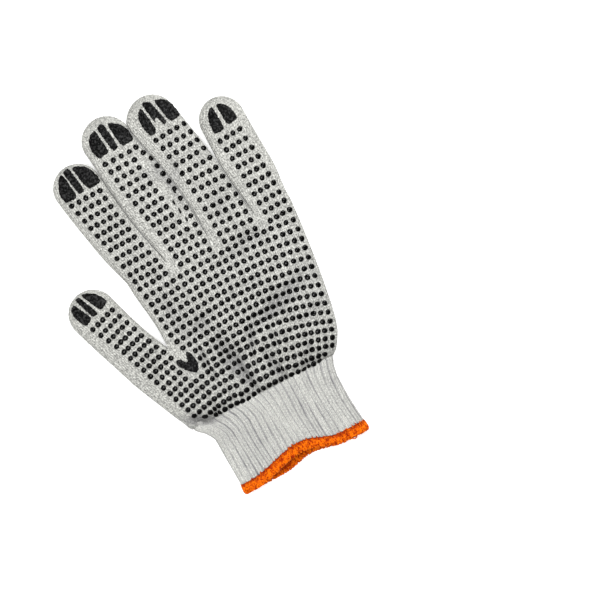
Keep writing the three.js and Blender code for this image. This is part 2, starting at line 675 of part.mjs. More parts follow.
const glove = new THREE.Group();
addPiece(glove, "wrist_cuff", makeCuff(), ribbing);
addPiece(glove, "hem_edging", makeHem(), overlock);
addPiece(glove, "lower_palm", makeLowerPalm(), cotton);
addPiece(glove, "upper_palm", makeUpperPalm(), cotton);
for (const digit of [...FINGERS, THUMB]) {
  addPiece(glove, digit.name, makeDigit(digit), cotton);
}
for (const grip of TIP_GRIPS) {
  addPiece(glove, grip.digit + "_grip_" + grip.part, makeTipGrip(grip), rubber);
}
addPiece(glove, "thumb_crotch_grip", makeCrotchGrip(), rubber);

// The origin is the middle of the glove's footprint, on the surface that it lies on.
const box = new THREE.Box3().setFromObject(glove, true);
const centre = box.getCenter(new THREE.Vector3());
glove.position.set(-centre.x, -centre.y, -box.min.z);

export default glove;
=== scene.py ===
import math
from functools import partial

import bpy
import numpy as np
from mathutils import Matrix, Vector
from mathutils.bvhtree import BVHTree
from mathutils.geometry import delaunay_2d_cdt


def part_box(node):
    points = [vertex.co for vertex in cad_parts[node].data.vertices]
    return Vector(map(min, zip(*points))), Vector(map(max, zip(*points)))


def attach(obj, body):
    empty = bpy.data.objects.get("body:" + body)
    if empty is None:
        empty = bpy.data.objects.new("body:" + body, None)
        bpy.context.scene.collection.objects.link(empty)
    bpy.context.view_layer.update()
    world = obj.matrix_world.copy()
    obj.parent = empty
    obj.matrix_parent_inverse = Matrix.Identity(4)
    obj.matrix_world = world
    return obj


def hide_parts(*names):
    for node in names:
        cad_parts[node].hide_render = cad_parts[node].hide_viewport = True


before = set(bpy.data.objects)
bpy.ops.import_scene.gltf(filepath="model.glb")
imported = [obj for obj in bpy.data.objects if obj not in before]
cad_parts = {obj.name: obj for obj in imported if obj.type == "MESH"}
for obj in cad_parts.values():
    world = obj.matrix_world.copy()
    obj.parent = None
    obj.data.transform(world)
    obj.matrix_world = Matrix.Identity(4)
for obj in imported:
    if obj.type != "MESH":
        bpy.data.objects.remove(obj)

# Left-hand dotted work glove, palm up. Sizes are in millimetres in the glove's own plane: x from the middle
# of the knuckle row, y from the wrist row towards the fingertips, z up. They become metres at the end.

MM = 0.001
SEED = 7
RAY_HEIGHT = 60  # above the glove, from which its surface is looked for

# Sizes shared with the solids
HAND_WIDTH = 107
LOWER_PALM_LENGTH = 47.5
UPPER_PALM_LENGTH = 44.7
KNUCKLE_ROW = LOWER_PALM_LENGTH + UPPER_PALM_LENGTH
PALM_THICKNESS = 13
WRIST_THICKNESS = 12
HAND_WALL = 1.6
THUMB_ROOT_WIDTH = 28.9
THUMB_ROOT_TURN = 22.6
PALM_SQUARENESS = 5
FINGER_LENGTH = 94.8
FINGER_WIDTH = 28
FINGER_THICKNESS = 12.2
THUMB_LENGTH = 61
TIP_CAP = 14
SECTION_GAP = 0.3
CREASE_GAP = 0.35
CUFF_LENGTH = 41.5
CUFF_THICKNESS = 12
CUFF_WALL = 2.2
HEM_WIDTH = 6.2
HEM_THICKNESS = 3.4
MIDDLE_SHARE = 0.45  # height of a section's widest line
FLOOR_FLATNESS = 1.35
FOLD_HOLD_POWER = 6
CUFF_HALF_SHARE = 0.38
PALM_MIDDLE = 0.001  # middle of the upper palm as a share of HAND_WIDTH
ARCH_PALM = {"rise": 6.5, "peak": 0.02, "left": 0.9, "right": 0.62}
ARCH_BACK = {"rise": 3.2, "peak": 0.12, "left": 0.5, "right": 0.5}

# The knit's mesh
CELL = 1.08  # length of a mesh cell
SIDE_CELLS = 10  # round each side of a section, between its top and its back
ROOT_BLEND = 13  # a digit takes its own section over this length
FINE_ARC = 160  # steps used to share out a section's girth
WALES_PER_CELL = 0.38
COURSES_PER_MM = 0.55

# Digits as in the solids, but for the ring and little finger and the thumb, which lie a little closer to the
# reference: shares of the named sizes, with leans in degrees to the left of +Y.
DIGIT_COLUMNS = ("name", "from", "to", "length", "mid", "tip", "thick", "root_lean", "tip_lean", "columns")
FINGERS = [
    ("index_finger", -0.499, -0.255, 0.827, 0.993, 1.021, 0.984, 14, 7, 24),
    ("middle_finger", -0.255, 0.011, 0.998, 1.232, 1.043, 1.016, 8, 9.4, 26),
    ("ring_finger", 0.011, 0.287, 0.985, 1.015, 1.057, 1, 4, 15.4, 28),
    ("little_finger", 0.287, 0.501, 0.766, 1.0, 0.962, 0.951, 4, -1, 22),
]
THUMB = ("thumb", None, None, 1.008, 0.995, 1.014, 1, THUMB_ROOT_TURN, 15, 26)
ROOT_TURN_SHARE = 0.3
MID_SHARE = 0.42
SQUARENESS = {"root": 3.8, "body": 3, "touch": 7, "tip": 2.3}
TOUCH_GAP = 3  # fingers nearer than this begin to flatten against each other
LEAN_STEPS = 8  # steps in which a digit's leaning middle line is followed
OUTLINE_STEPS = 240
TIP_RINGS = 22

# Rows of the lower palm, as in the solids: left, left_up, right, right_up, bend and puff. The upper palm's
# have no bend, and the cuff's are down, left, right and puff.
LOWER_PALM_ROWS = [
    (-0.542, 0, 0.308, 0, 0, 0.93),
    (-0.563, 0.04, 0.336, 0.045, 0.02, 0.97),
    (-0.58, 0.105, 0.362, 0.125, 0.05, 1),
    (-0.602, 0.195, 0.391, 0.235, 0.12, 1),
    (-0.625, 0.31, 0.41, 0.36, 0.24, 1),
    (-0.648, 0.425, 0.423, 0.49, 0.38, 1),
    (-0.671, 0.54, 0.434, 0.62, 0.56, 1),
    (-0.694, 0.655, 0.446, 0.79, 0.77, 1),
    (-0.716, 0.768, 0.458, 0.97, 1, 1),
]
UPPER_PALM_ROWS = [
    (-0.466, 0.012, 0.458, -0.032, 1),
    (-0.465, 0.17, 0.467, 0.14, 1),
    (-0.468, 0.35, 0.476, 0.33, 1),
    (-0.477, 0.54, 0.485, 0.53, 1),
    (-0.488, 0.71, 0.492, 0.71, 0.99),
    (-0.495, 0.86, 0.497, 0.86, 0.97),
    (-0.499, 1, 0.501, 1, 0.96),
]
CUFF_ROWS = [
    (0.004, -0.54, 0.306, 0.97),
    (0.12, -0.5, 0.287, 1),
    (0.28, -0.475, 0.276, 1),
    (0.62, -0.472, 0.277, 0.98),
    (1, -0.466, 0.29, 1),
]

# Dents (depth over 0) and bulges of the palm side, some as in the solids and the rest finer: x as a share of
# HAND_WIDTH, y of KNUCKLE_ROW, the turn in degrees from +X, length and width as shares of HAND_WIDTH, and
# depth of PALM_THICKNESS.
FOLD_STRENGTH = 2
DEEP_FOLD = 3.2  # a fold this deep takes the full painted shade
FOLDS = [
    (0.17, 0.45, 20, 0.2, 0.045, 0.13),
    (-0.185, 0.23, 98, 0.18, 0.05, 0.14),
    (-0.005, 0.13, 94, 0.1, 0.026, 0.1),
    (0.205, 0.1, 70, 0.06, 0.022, 0.07),
    (-0.365, 0.68, 92, 0.13, 0.05, 0.06),
    (0.18, 0.88, 5, 0.1, 0.045, 0.06),
    (-0.495, 0.028, -28, 0.1, 0.03, 0.12),
    (0.045, 0.29, 60, 0.09, 0.06, -0.07),
    (-0.215, 0.1, 90, 0.08, 0.035, -0.06),
    (0.16, 0.06, 10, 0.12, 0.04, -0.06),
    (0.0, 0.63, 75, 0.12, 0.035, -0.06),
    (-0.1, 1.53, -22, 0.1, 0.035, 0.05),
    (0.015, 1.475, 70, 0.06, 0.03, 0.06),
    (0.15, 1.17, 70, 0.08, 0.04, 0.06),
    (-0.035, 1.36, 95, 0.11, 0.012, 0.1),
    (-0.06, 1.52, 104, 0.12, 0.02, 0.05),
    (-0.485, 0.017, -28, 0.065, 0.014, 0.15),
    (-0.42, -0.16, -72, 0.15, 0.05, 0.05),
    (-0.257, 0.554, 20, 0.07, 0.035, 0.09),
    (-0.317, 0.35, 90, 0.1, 0.014, 0.08),
    (-0.054, 0.3, 68, 0.12, 0.014, 0.08),
    (-0.157, 0.15, 98, 0.11, 0.013, 0.08),
    (0.08, 0.28, 79, 0.08, 0.012, 0.05),
    (0.02, 0.06, 90, 0.06, 0.014, 0.07),
    (0.16, 0.045, 90, 0.05, 0.014, 0.08),
    (-0.395, 0.03, 95, 0.05, 0.016, 0.06),
    (0.02, 0.62, 8, 0.1, 0.03, 0.04),
    (0.3, 0.3, 15, 0.12, 0.02, 0.05),
]
# Pairs of crossing waves: height, and for each wave its radians a mm in x and in y and where it starts
SLACK_WAVES = [
    (0.16, (0.31, 0.13, 1.3), (-0.11, 0.23, 0)),
    (0.1, (0.63, -0.29, 0.4), (0.17, 0.52, 2.1)),
]
GATHER_COUNT = 26  # small gathers across the palm side just above the ribbing
GATHER_DEPTH = 0.55
GATHER_REACH = 0.2
GATHER_DRIFT = 1.7  # how unevenly they are spaced
GATHER_DRIFT_TURNS = 7
RIM_TUCK = 0.8  # how far the hand's wrist edge curls in
RIM_TUCK_LENGTH = 2.2

# Ribbing
RIB_COUNT = 46
STEPS_PER_RIB = 12
CUFF_RINGS = 40
CUFF_FINE_ARC = 800  # steps used to share out the ribbing's girth
WALES_PER_RIB = 2
RIB_SWAY = 0.1
SWAY_DOWN = 5  # radians along the cuff
SWAY_NEXT = 0.9  # radians from rib to rib
RIB_HEIGHT = 0.9
RIB_EDGE_POWER = 0.6
MID_RIB_LINE = 0.55  # depth of the line between a rib's two wales, as a share of the groove beside it
FOLD_IN_RIBS = 0.6  # how much painted shade the ribbing takes down in a fold of full depth
INNER_RIB_SHARE = 0.4
RIBS_START = -53  # left of here the hand's fabric rolls over and the ribs fade
FAINTEST_RIB = 0.8
RIBS_START_WIDTH = 7
RIB_STRENGTHS = (0.55, 1.05)
LEFT_WRIST_BULGE = {"y": -2, "length": 4.5, "out": 2}  # where the hand's fabric rolls over into the cuff
CUFF_TUCK_INSET = 1.5
TUCKED_RINGS = [-0.06, -0.03]  # shares of the cuff's length above the wrist row, inside the hand
TUCK_END = 0.04
TUCK_OVER = 0.1

# Grip dots
DOT_DIAMETER = 3.25
DOT_HEIGHT = 0.8
DOT_SINK = 0.45
DOT_SIDES = 12
DOT_JITTER = 0.14
DOT_SIZES = (0.94, 1.05)  # least and most, as shares of the diameter
DOT_LUMPS = ((2, 0.05), (3, 0.03))  # how many lumps round a dot, and how high as a share of its radius
LUMP_TURN = 6.3  # a little over a full turn
CROTCH_GRIP_REACH = 0.6 * DOT_DIAMETER  # no dot is nearer to the thumb crotch's grip
DOT_PROFILE = [(1.0, -DOT_SINK), (1.02, 0.25 * DOT_HEIGHT), (0.95, 0.55 * DOT_HEIGHT),
               (0.76, 0.8 * DOT_HEIGHT), (0.48, 0.93 * DOT_HEIGHT), (0.22, 0.985 * DOT_HEIGHT)]
# Each digit's dots: columns, rows, and rows from the tip to the root with the row's number and its first and
# last dot's x and y.
DIGIT_DOTS = {
    "index_finger": (5, 12, [
        (0, -60.3, 147.3, -41.8, 147.6),
        (3, -56.6, 130.5, -39.9, 130.9),
        (6, -52.5, 114.1, -36.8, 114.4),
        (9, -49.3, 96.5, -32.2, 96.8),
        (11, -48.1, 86.4, -30.8, 87.2)]),
    "middle_finger": (4, 14, [
        (0, -31.8, 159.6, -16.2, 159.4),
        (3, -29.6, 142.6, -15, 143.2),
        (6, -25.9, 125.7, -12.4, 126.8),
        (8, -23.8, 115.3, -11.8, 115.6),
        (10, -21.9, 103.6, -7.7, 104.2),
        (13, -20.4, 88, -6.2, 88)]),
    "ring_finger": (5, 13, [
        (0, 0.6, 157.9, 19.4, 159.2),
        (1, 1.9, 151.9, 20.6, 153.1),
        (3, 4.1, 140, 22.8, 141),
        (5, 6.2, 127.9, 23.8, 127.9),
        (8, 7, 109.6, 26.8, 108.8),
        (12, 8, 87.6, 27.3, 85.8)]),
    "little_finger": (4, 10, [
        (0, 33.3, 140.1, 46.4, 141.2),
        (3, 35.4, 122.1, 48.4, 122.1),
        (9, 37.1, 85.8, 50, 86.4)]),
    "thumb": (5, 12, [
        (0, -83, 78.3, -67.9, 83.2),
        (4, -73.4, 58.3, -60, 62.1),
        (8, -66.4, 38.9, -50.8, 42.6),
        (10, -63, 29.3, -46.4, 33.8),
        (11, -61.2, 24.7, -45.1, 29)]),
}
# The middle finger's fifth column, which a fold of bare knit has pushed aside: row number, x and y.
PUSHED_COLUMN = [
    (0, -11.6, 160.1),
    (2, -6.8, 150.2),
    (4, -4.8, 139.2),
    (6, -3.2, 128.2),
    (8, -2.3, 115.4),
    (10, -2.4, 104.4),
    (13, -1.9, 87.6),
]
PUSHED_ROWS = 14
# Dots half swallowed by that fold: x, y and how much of the width still shows
SWALLOWED_DOTS = [(-7.2, 121.2, 0.4), (-6.3, 115.4, 0.35), (-5.1, 109.4, 0.35), (-3.9, 127.2, 0.5)]
# Dot rows of the palm: row number, the first and last dot's x and y, and how much the row's middle rises
# above the line between them. A skew over 1 moves the highest place to the right.
PALM_DOT_COLUMNS = 22
PALM_DOT_SKEW = 1.25
PALM_DOT_ROWS = [
    (0, -47, 80.6, 49.3, 80, 2.4),
    (2, -45.8, 70.2, 48.5, 68.2, 3.4),
    (5, -44.7, 54.5, 45.8, 51, 4.4),
    (8, -40.9, 39.4, 43.5, 34.6, 5.2),
    (10, -40.6, 29.6, 41.8, 23.4, 6.2),
]
# Below them the rows run on under the thumb, and lose columns to the gathers: columns, x and y, and rise
HEEL_DOT_SKEW = 1.06
HEEL_DOT_ROWS = [
    (27, -59.6, 20.3, 40.3, 18.3, 8.5),
    (27, -57.9, 15.8, 38.9, 13.6, 8.2),
    (25, -56.4, 11.4, 37.1, 9.3, 7.3),
    (25, -54.9, 6.7, 34.9, 5.3, 6.7),
    (23, -49.9, 3.5, 28.7, 2.8, 4.4),
    (20, -43.8, 1.4, 24.4, 0.7, 1.1),
]
# Where the fabric bunches, dots crowd towards a line: its middle's x and y, its lean in mm a mm, its reach to
# each side, its half length and how hard it draws.
BUNCHES = [
    (-33.9, 32.5, 0, 5, 12, 0.38),
    (-5.8, 27.8, 0.4, 4.5, 14, 0.38),
    (-16.8, 13.9, -0.15, 4.5, 12, 0.36),
    (8.7, 25.5, 0.2, 4, 9, 0.26),
    (2.3, 6, 0, 4.5, 6, 0.34),
    (17.1, 4.1, 0, 4.5, 5, 0.4),
    (-42.3, 2.3, 0, 6, 5, 0.3),
]
# Where a row dips towards the wrist: x, y, reach, half length and drop
DIPS = [
    (-23.2, 7, 4.5, 8, 2),
    (12.8, 7, 6, 8, 1.2),
]

# Outlines of the grips
GRIPS = {
    "index_finger_grip_left": [
        (-62.6, 159.5), (-60.3, 164.1), (-58, 166.5), (-56.5, 164.7), (-54.8, 152), (-56.3, 149.9),
        (-62.6, 150.2), (-63.8, 156)],
    "index_finger_grip_middle": [
        (-56.3, 166.5), (-53.9, 167.9), (-51.9, 167.6), (-49.3, 151.7), (-53.4, 150.8)],
    "index_finger_grip_right": [
        (-50.5, 167), (-46.4, 166.2), (-42.9, 163.8), (-40.6, 160.4), (-39.1, 156), (-38.9, 151.7),
        (-47.6, 151.1)],
    "middle_finger_grip_left": [
        (-34.5, 175.7), (-31.9, 178.3), (-29, 179.8), (-27.8, 178.6), (-26.4, 164.7), (-33.6, 163.6),
        (-35.4, 169.9)],
    "middle_finger_grip_middle": [
        (-26.7, 180.4), (-23.8, 181.5), (-22, 180.1), (-20.3, 164.7), (-24.4, 163.8)],
    "middle_finger_grip_right": [
        (-20.3, 179.8), (-17.4, 178.9), (-14.5, 176.9), (-12.2, 174.3), (-10.7, 169.9), (-10.4, 164.4),
        (-18.6, 163.8)],
    "ring_finger_grip_left": [
        (-2.9, 172.8), (-1.2, 176.9), (1.7, 178.9), (3.8, 164.7), (2.3, 161.5), (-1.2, 161.5),
        (-2.9, 167.6)],
    "ring_finger_grip_middle": [
        (2.9, 180.1), (4.6, 181.2), (8.1, 178.9), (11.3, 164.7), (9, 163.6), (7, 169.9), (5.2, 168.2),
        (4.9, 166.5)],
    "ring_finger_grip_right": [
        (9.9, 179.5), (14.5, 177.8), (17.4, 175.4), (19.4, 170.5), (20, 164.4), (12.8, 163.3)],
    "little_finger_grip_left": [
        (32.5, 152.5), (33.6, 156.6), (36.5, 159.8), (38.3, 160.1), (39.1, 145.6), (35.4, 144.7),
        (31.9, 145.6)],
    "little_finger_grip_right": [
        (40.6, 160.1), (42.9, 159.8), (45.8, 157.5), (47.8, 153.7), (48.4, 147), (41.2, 146.2)],
    "thumb_grip_left": [
        (-89.3, 94), (-86.4, 96.6), (-80.3, 84.1), (-85.8, 81.5), (-89.6, 89.3)],
    "thumb_grip_middle": [
        (-84.7, 98.3), (-81.8, 98.9), (-75.7, 85.3), (-79.8, 84.4)],
    "thumb_grip_right": [
        (-80.6, 99.2), (-77.1, 98.9), (-73.1, 96.6), (-70.2, 93.4), (-68.1, 89), (-73.7, 85.5)],
    "thumb_crotch_grip": [
        (-49.9, 38.3), (-48.7, 40), (-46.4, 39.1), (-44.4, 36.2), (-43.2, 36.5), (-42.6, 40), (-41.2, 41.8),
        (-39.4, 39.7), (-38.6, 36), (-38.3, 32.5), (-40, 29), (-41.8, 28.1), (-45.8, 31.3), (-49.3, 36)],
}
GRIP_HEIGHT = 0.75
GRIP_SINK = 0.4
GRIP_EDGE = 0.6  # width of the rounded edge
GRIP_LEAST_RISE = 0.05
JOIN_DISTANCE = 1e-5  # corners nearer than this become one
GRIP_CELL = 0.6
GRIP_RAGGEDNESS = 0.22
GRIP_ROUNDINGS = 2
CORNER_CUT = 0.14

# Overlock
THREAD_RADIUS = 0.44
WRAP_COUNT = 132
WRAP_STEPS = 20
ANY_SLANT = (0.31, 0.52, 0.79)  # a direction that no thread runs in
WRAP_SIDES = 6
WRAP_SLANT = 2
WRAP_REACHES = (-1.2, 1.9)  # how far each wrap passes the hem's upper edge
WRAP_TURNS = (0.1, 0.7)  # as shares of the slant
WRAP_SHIFT = 0.4
WRAP_INSETS = (0.6, 1.3)  # under the hem's section, in thread radii
WRAP_RADII = (0.8, 1.1)
WRAP_FLOOR = 1.1 * THREAD_RADIUS  # lowest height of a wrap's middle line
PACKED_REACH = 0.8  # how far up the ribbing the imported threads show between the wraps
RISE_FROM = 0.05  # above this share of HEM_WIDTH the threads turn a deeper red
RISE_OVER = 0.55
CHAIN_STEPS = 8
CHAIN_LEVEL = -0.12
LOOSE_END = (21.5, -47, 9.9)  # inside the hem's top band, from which the loose thread hangs
LOOSE_STEPS = 40
LOOSE_WIND = 9  # radians
LOOSE_CURL = (1.8, 1.3)
LOOSE_TAPER = 0.4
LOOSE_DROP = (0.8, 2)  # away from the fingers, and down
LOOSE_RADIUS = 0.9 * THREAD_RADIUS
HEM_STEPS = 4  # of the hem's line for each wrap
HEM_POWER = 0.7  # how square the hem's section is
CORE_SIDES = 14
CORE_INSET = 1.3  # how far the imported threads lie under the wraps, in thread radii
CHAIN_SIDES = 5
CHAIN_RADIUS = 0.6 * THREAD_RADIUS
CHAIN_SWING = 0.7
CHAIN_SINK = 0.4 * THREAD_RADIUS  # below the hem's surface
CHAIN_FLOOR = 0.7 * THREAD_RADIUS

CAMERA_TURN = math.radians(-28)
CAMERA_CENTRE = (50.2, -31.9)  # where the middle of the picture falls, in the row frame
CAMERA_LENS = 200
PICTURE_WIDTH = 348  # width of the picture at the height of the palm side
PALM_SIDE_HEIGHT = 9
SENSOR_WIDTH = 36
CAMERA_REACH_M = 10
FLOOR_HALF_M = 3.0
FLOOR_DARK = (0.93, 0.93, 0.93)
FLOOR_LIGHT = (0.95, 0.95, 0.95)
FLOOR_GLOW = 0.35
SKY_STRENGTH = 0.36
# Name, place and size in metres, and power in watts
LIGHTS = [
    ("key", (0.6, 0.55, 0.85), 0.5, 12.0),
    ("fill", (-0.8, -0.1, 0.7), 0.8, 5.0),
    ("top", (-0.04, 0.025, 1.5), 0.5, 11.5),
]

rng = np.random.default_rng(SEED)


def lerp(a, b, share):
    return a + (b - a) * share


def smooth(value):
    value = np.clip(value, 0, 1)
    return value * value * (3 - 2 * value)


def turns(count, start=0.0):
    """Angles at even steps round a circle."""
    return (np.arange(count) + start) / count * 2 * math.pi


def unit(vectors):
    return vectors / np.linalg.norm(vectors, axis=1, keepdims=True)


def on_loop(loop, marks, places):
    """Points of a closed line at places between the marks of its corners."""
    closed = np.concatenate([loop, loop[:1]])
    return np.stack([np.interp(places, marks, column) for column in closed.T], axis=1)


def between_keys(keys, at):
    """A table's columns at a place between its rows, which say their own places in the first column."""
    places, *columns = zip(*keys)
    return [np.interp(at, places, column) for column in columns]


def between_rows(rows, share):
    """A table's columns at a share of its height, with its rows at even steps."""
    places = np.linspace(0, 1, len(rows))
    return [np.interp(share, places, column) for column in zip(*rows)]


def fold_depth(x, y):
    depth = np.zeros_like(x, dtype=float)
    for fold_x, fold_y, turn, length, width, deep in FOLDS:
        dx = x - fold_x * HAND_WIDTH
        dy = y - fold_y * KNUCKLE_ROW
        turn = math.radians(turn)
        along = (dx * math.cos(turn) + dy * math.sin(turn)) / (length * HAND_WIDTH)
        across = (dy * math.cos(turn) - dx * math.sin(turn)) / (width * HAND_WIDTH)
        depth += deep * PALM_THICKNESS * np.exp(-along * along - across * across)
    return depth * FOLD_STRENGTH


def fold_hold(across, top):
    """How much of a fold a place takes: nothing at the side edges and on the back."""
    return np.where(top, 1 - np.abs(across) ** FOLD_HOLD_POWER, 0)


def unevenness(x, y):
    """Slight slackness of the knit, a few tenths of a millimetre high."""
    return sum(high * np.sin(a * x + b * y + c) * np.sin(d * x + e * y + f)
               for high, (a, b, c), (d, e, f) in SLACK_WAVES)


def section_height(across, top, thickness, squareness, inset=0.0):
    bulge = (1 - np.clip(np.abs(across), 0, 1) ** squareness) ** (1 / squareness)
    middle = MIDDLE_SHARE * thickness
    upper = middle + (thickness - middle - inset) * bulge
    lower = middle - (middle - inset) * np.minimum(1, FLOOR_FLATNESS * bulge)
    return np.where(top, upper, lower)


def spread(across, x, y, z, anchors):
    """Shares of a polyline's girth: anchors are (place on it as across, cell number)."""
    steps = np.hypot(np.hypot(np.diff(x), np.diff(y)), np.diff(z))
    girth = np.concatenate([[0], np.cumsum(steps)])
    marks = np.interp([a for a, _ in anchors], across, girth)
    cells = np.arange(anchors[0][1], anchors[-1][1] + 1)
    wanted = np.interp(cells, [c for _, c in anchors], marks)
    return np.interp(wanted, girth, across)


def sized(row, full_length):
    made = dict(zip(DIGIT_COLUMNS, row))
    made["length"] *= full_length
    made["mid"] *= FINGER_WIDTH
    made["tip"] *= FINGER_WIDTH
    made["thick"] *= FINGER_THICKNESS
    return made


FINGERS = [sized(row, FINGER_LENGTH) for row in FINGERS]
THUMB = sized(THUMB, THUMB_LENGTH)
LEFT, LEFT_UP, RIGHT, RIGHT_UP = LOWER_PALM_ROWS[-1][:4]
THUMB_CORNER = THUMB_ROOT_WIDTH * math.cos(math.radians(THUMB_ROOT_TURN)) / ((RIGHT - LEFT) * HAND_WIDTH)
THUMB_RISE = THUMB_ROOT_WIDTH * math.sin(math.radians(THUMB_ROOT_TURN)) - (
    (RIGHT_UP - LEFT_UP) * LOWER_PALM_LENGTH * THUMB_CORNER)


def lower_palm_row(length, share):
    left, left_up, right, right_up, bend, puff = between_rows(LOWER_PALM_ROWS, length)
    hat = np.where(share < THUMB_CORNER, share / THUMB_CORNER, (1 - share) / (1 - THUMB_CORNER))
    x = lerp(left, right, share) * HAND_WIDTH
    y = lerp(left_up, right_up, share) * LOWER_PALM_LENGTH + bend * THUMB_RISE * hat
    return x, y, puff


def gathers(length, share):
    fade = smooth(1 - length / GATHER_REACH)
    wave = np.sin(math.pi * GATHER_COUNT * share + GATHER_DRIFT * np.sin(GATHER_DRIFT_TURNS * share)) ** 2
    return GATHER_DEPTH * fade * wave


def lower_palm_section(length, across, top):
    share = (1 + across) / 2
    x, y, puff = lower_palm_row(length, share)
    x = x - left_bulge(y, across)
    thickness = lerp(WRIST_THICKNESS, PALM_THICKNESS, smooth(length * 2)) * puff
    z = section_height(across, top, thickness, PALM_SQUARENESS)
    z = z - (fold_depth(x, y) + unevenness(x, y) + gathers(length, share)) * fold_hold(across, top)
    tuck = (1 - smooth(length * LOWER_PALM_LENGTH / RIM_TUCK_LENGTH)) * RIM_TUCK
    middle = MIDDLE_SHARE * thickness
    return x, y, np.where(top, z - tuck * (z - middle) / thickness * 2, z)


def upper_palm_section(length, across, top):
    left, left_up, right, right_up, puff = between_rows(UPPER_PALM_ROWS, length)
    share = (1 + across) / 2
    x = lerp(left, right, share) * HAND_WIDTH
    y = LOWER_PALM_LENGTH + lerp(left_up, right_up, share) * UPPER_PALM_LENGTH
    z = section_height(across, top, PALM_THICKNESS * puff, PALM_SQUARENESS)
    return x, y, z - (fold_depth(x, y) + unevenness(x, y)) * fold_hold(across, top)


def root_of(digit):
    """Middle and width of a digit's root."""
    if digit is THUMB:
        corner = np.array(lower_palm_row(1.0, np.array(THUMB_CORNER))[:2])
        left = np.array(lower_palm_row(1.0, np.array(0.0))[:2])
        return (corner + left) / 2, float(np.hypot(*(corner - left)))
    centre = np.array([(digit["from"] + digit["to"]) / 2 * HAND_WIDTH, KNUCKLE_ROW])
    return centre, (digit["to"] - digit["from"]) * HAND_WIDTH


def stations(digit, reached):
    """Centre, lean, half width and roundness at distances along a digit, as arrays."""
    start, root_width = root_of(digit)
    body = digit["length"] - TIP_CAP
    x = np.full_like(reached, start[0])
    y = np.full_like(reached, start[1])
    for i in range(LEAN_STEPS):
        share = (i + 0.5) / LEAN_STEPS * reached / digit["length"]
        lean = np.radians(lerp(digit["root_lean"], digit["tip_lean"], share))
        x -= np.sin(lean) * reached / LEAN_STEPS
        y += np.cos(lean) * reached / LEAN_STEPS
    along = reached / digit["length"]
    body_share = np.minimum(reached / body, 1)
    root_half = (root_width - SECTION_GAP) / 2
    below = lerp(root_half, digit["mid"] / 2, smooth(body_share / MID_SHARE))
    above = lerp(digit["mid"], digit["tip"], smooth((body_share - MID_SHARE) / (1 - MID_SHARE))) / 2
    cap = np.clip((reached - body) / TIP_CAP, 0, 1)
    round_share = np.sqrt(1 - cap * cap)
    turned = 1.0 if digit is THUMB else smooth(along / ROOT_TURN_SHARE)
    return {
        "x": x, "y": y, "along": along, "round": round_share,
        "lean": np.radians(lerp(digit["root_lean"], digit["tip_lean"], along)) * turned,
        "half": np.where(body_share < MID_SHARE, below, above) * round_share,
    }


def beside(at, out):
    """Places at a distance to the right of a digit's middle line."""
    return at["x"] + out * np.cos(at["lean"]), at["y"] + out * np.sin(at["lean"])


def outline(digit, side):
    at = stations(digit, np.linspace(0, digit["length"], OUTLINE_STEPS))
    x, y = beside(at, side * at["half"])
    last = int(np.argmax(y)) + 1
    return x[:last], y[:last]


OUTLINES = {(f["name"], side): outline(f, side) for f in FINGERS for side in (-1, 1)}


def held_reach(digit, side, at):
    """Half width on one side, held back from the finger against it, and how closely the two touch."""
    place = next((i for i, f in enumerate(FINGERS) if f is digit), None)
    if place is None or not 0 <= place + side < len(FINGERS):
        return at["half"], np.zeros_like(at["half"])
    _, y = beside(at, side * at["half"])
    own_x, own_y = OUTLINES[(digit["name"], side)]
    other_x, other_y = OUTLINES[(FINGERS[place + side]["name"], -side)]
    overlap = side * (np.interp(y, own_y, own_x) - np.interp(y, other_y, other_x)) + CREASE_GAP
    beyond = np.maximum(y - own_y[-1], y - other_y[-1])
    touch = smooth(1 + overlap / TOUCH_GAP) * smooth(-beyond / TOUCH_GAP)
    return at["half"] - np.where(beyond <= 0, np.maximum(overlap, 0) / 2, 0), touch


def digit_squareness(at, across):
    touch = np.where(across < 0, at["left_touch"], at["right_touch"])
    body = lerp(SQUARENESS["root"], SQUARENESS["body"], smooth(at["along"] / ROOT_TURN_SHARE))
    return lerp(SQUARENESS["tip"], lerp(body, SQUARENESS["touch"], touch), at["round"])


def digit_section(digit, at, across, top):
    """Points of a digit's section at one station, at shares of its half width."""
    out = across * np.where(across < 0, at["left"], at["right"])
    height = section_height(across, top, digit["thick"], digit_squareness(at, across))
    middle = MIDDLE_SHARE * digit["thick"]
    x, y = beside(at, out)
    z = middle + (height - middle) * at["round"]
    hold = fold_hold(across, top) * at["round"]
    return x, y, z - (fold_depth(x, y) + unevenness(x, y)) * hold


def section_ring(section, cells, anchors=()):
    """A closed ring: over the top from the left side to the right, and back under it."""
    fine = -np.cos(np.linspace(0, math.pi, FINE_ARC + 1))
    total = cells + SIDE_CELLS
    ends = [(-1.0, 0), *anchors, (1.0, total)]
    parts = []
    for top in (True, False):
        x, y, z = section(fine, np.full(fine.shape, top))
        across = spread(fine, x, y, z, ends)
        parts.append(np.stack(section(across, np.full(across.shape, top)), axis=1))
    return np.concatenate([parts[0], parts[1][1:-1][::-1]])


def fold_shades(points):
    """How deep in a fold each point lies, from 0 to 1: the share of painted shade it takes."""
    share = np.clip(fold_depth(points[:, 0], points[:, 1]) / DEEP_FOLD, 0, 1)
    return np.where(points[:, 2] > MIDDLE_SHARE * PALM_THICKNESS, share, 0)


def corner_map(values, faces):
    """A map of one value a point, as it is kept: two numbers at each face corner."""
    return [(values[i], 0) for face in faces for i in face]


def loft(rings, count, closed=True):
    """Faces between rings of count points, and between the last ring and the first where they are closed."""
    faces = []
    for j in range(rings if closed else rings - 1):
        k = (j + 1) % rings
        for i in range(count):
            n = (i + 1) % count
            faces.append((j * count + i, j * count + n, k * count + n, k * count + i))
    return faces


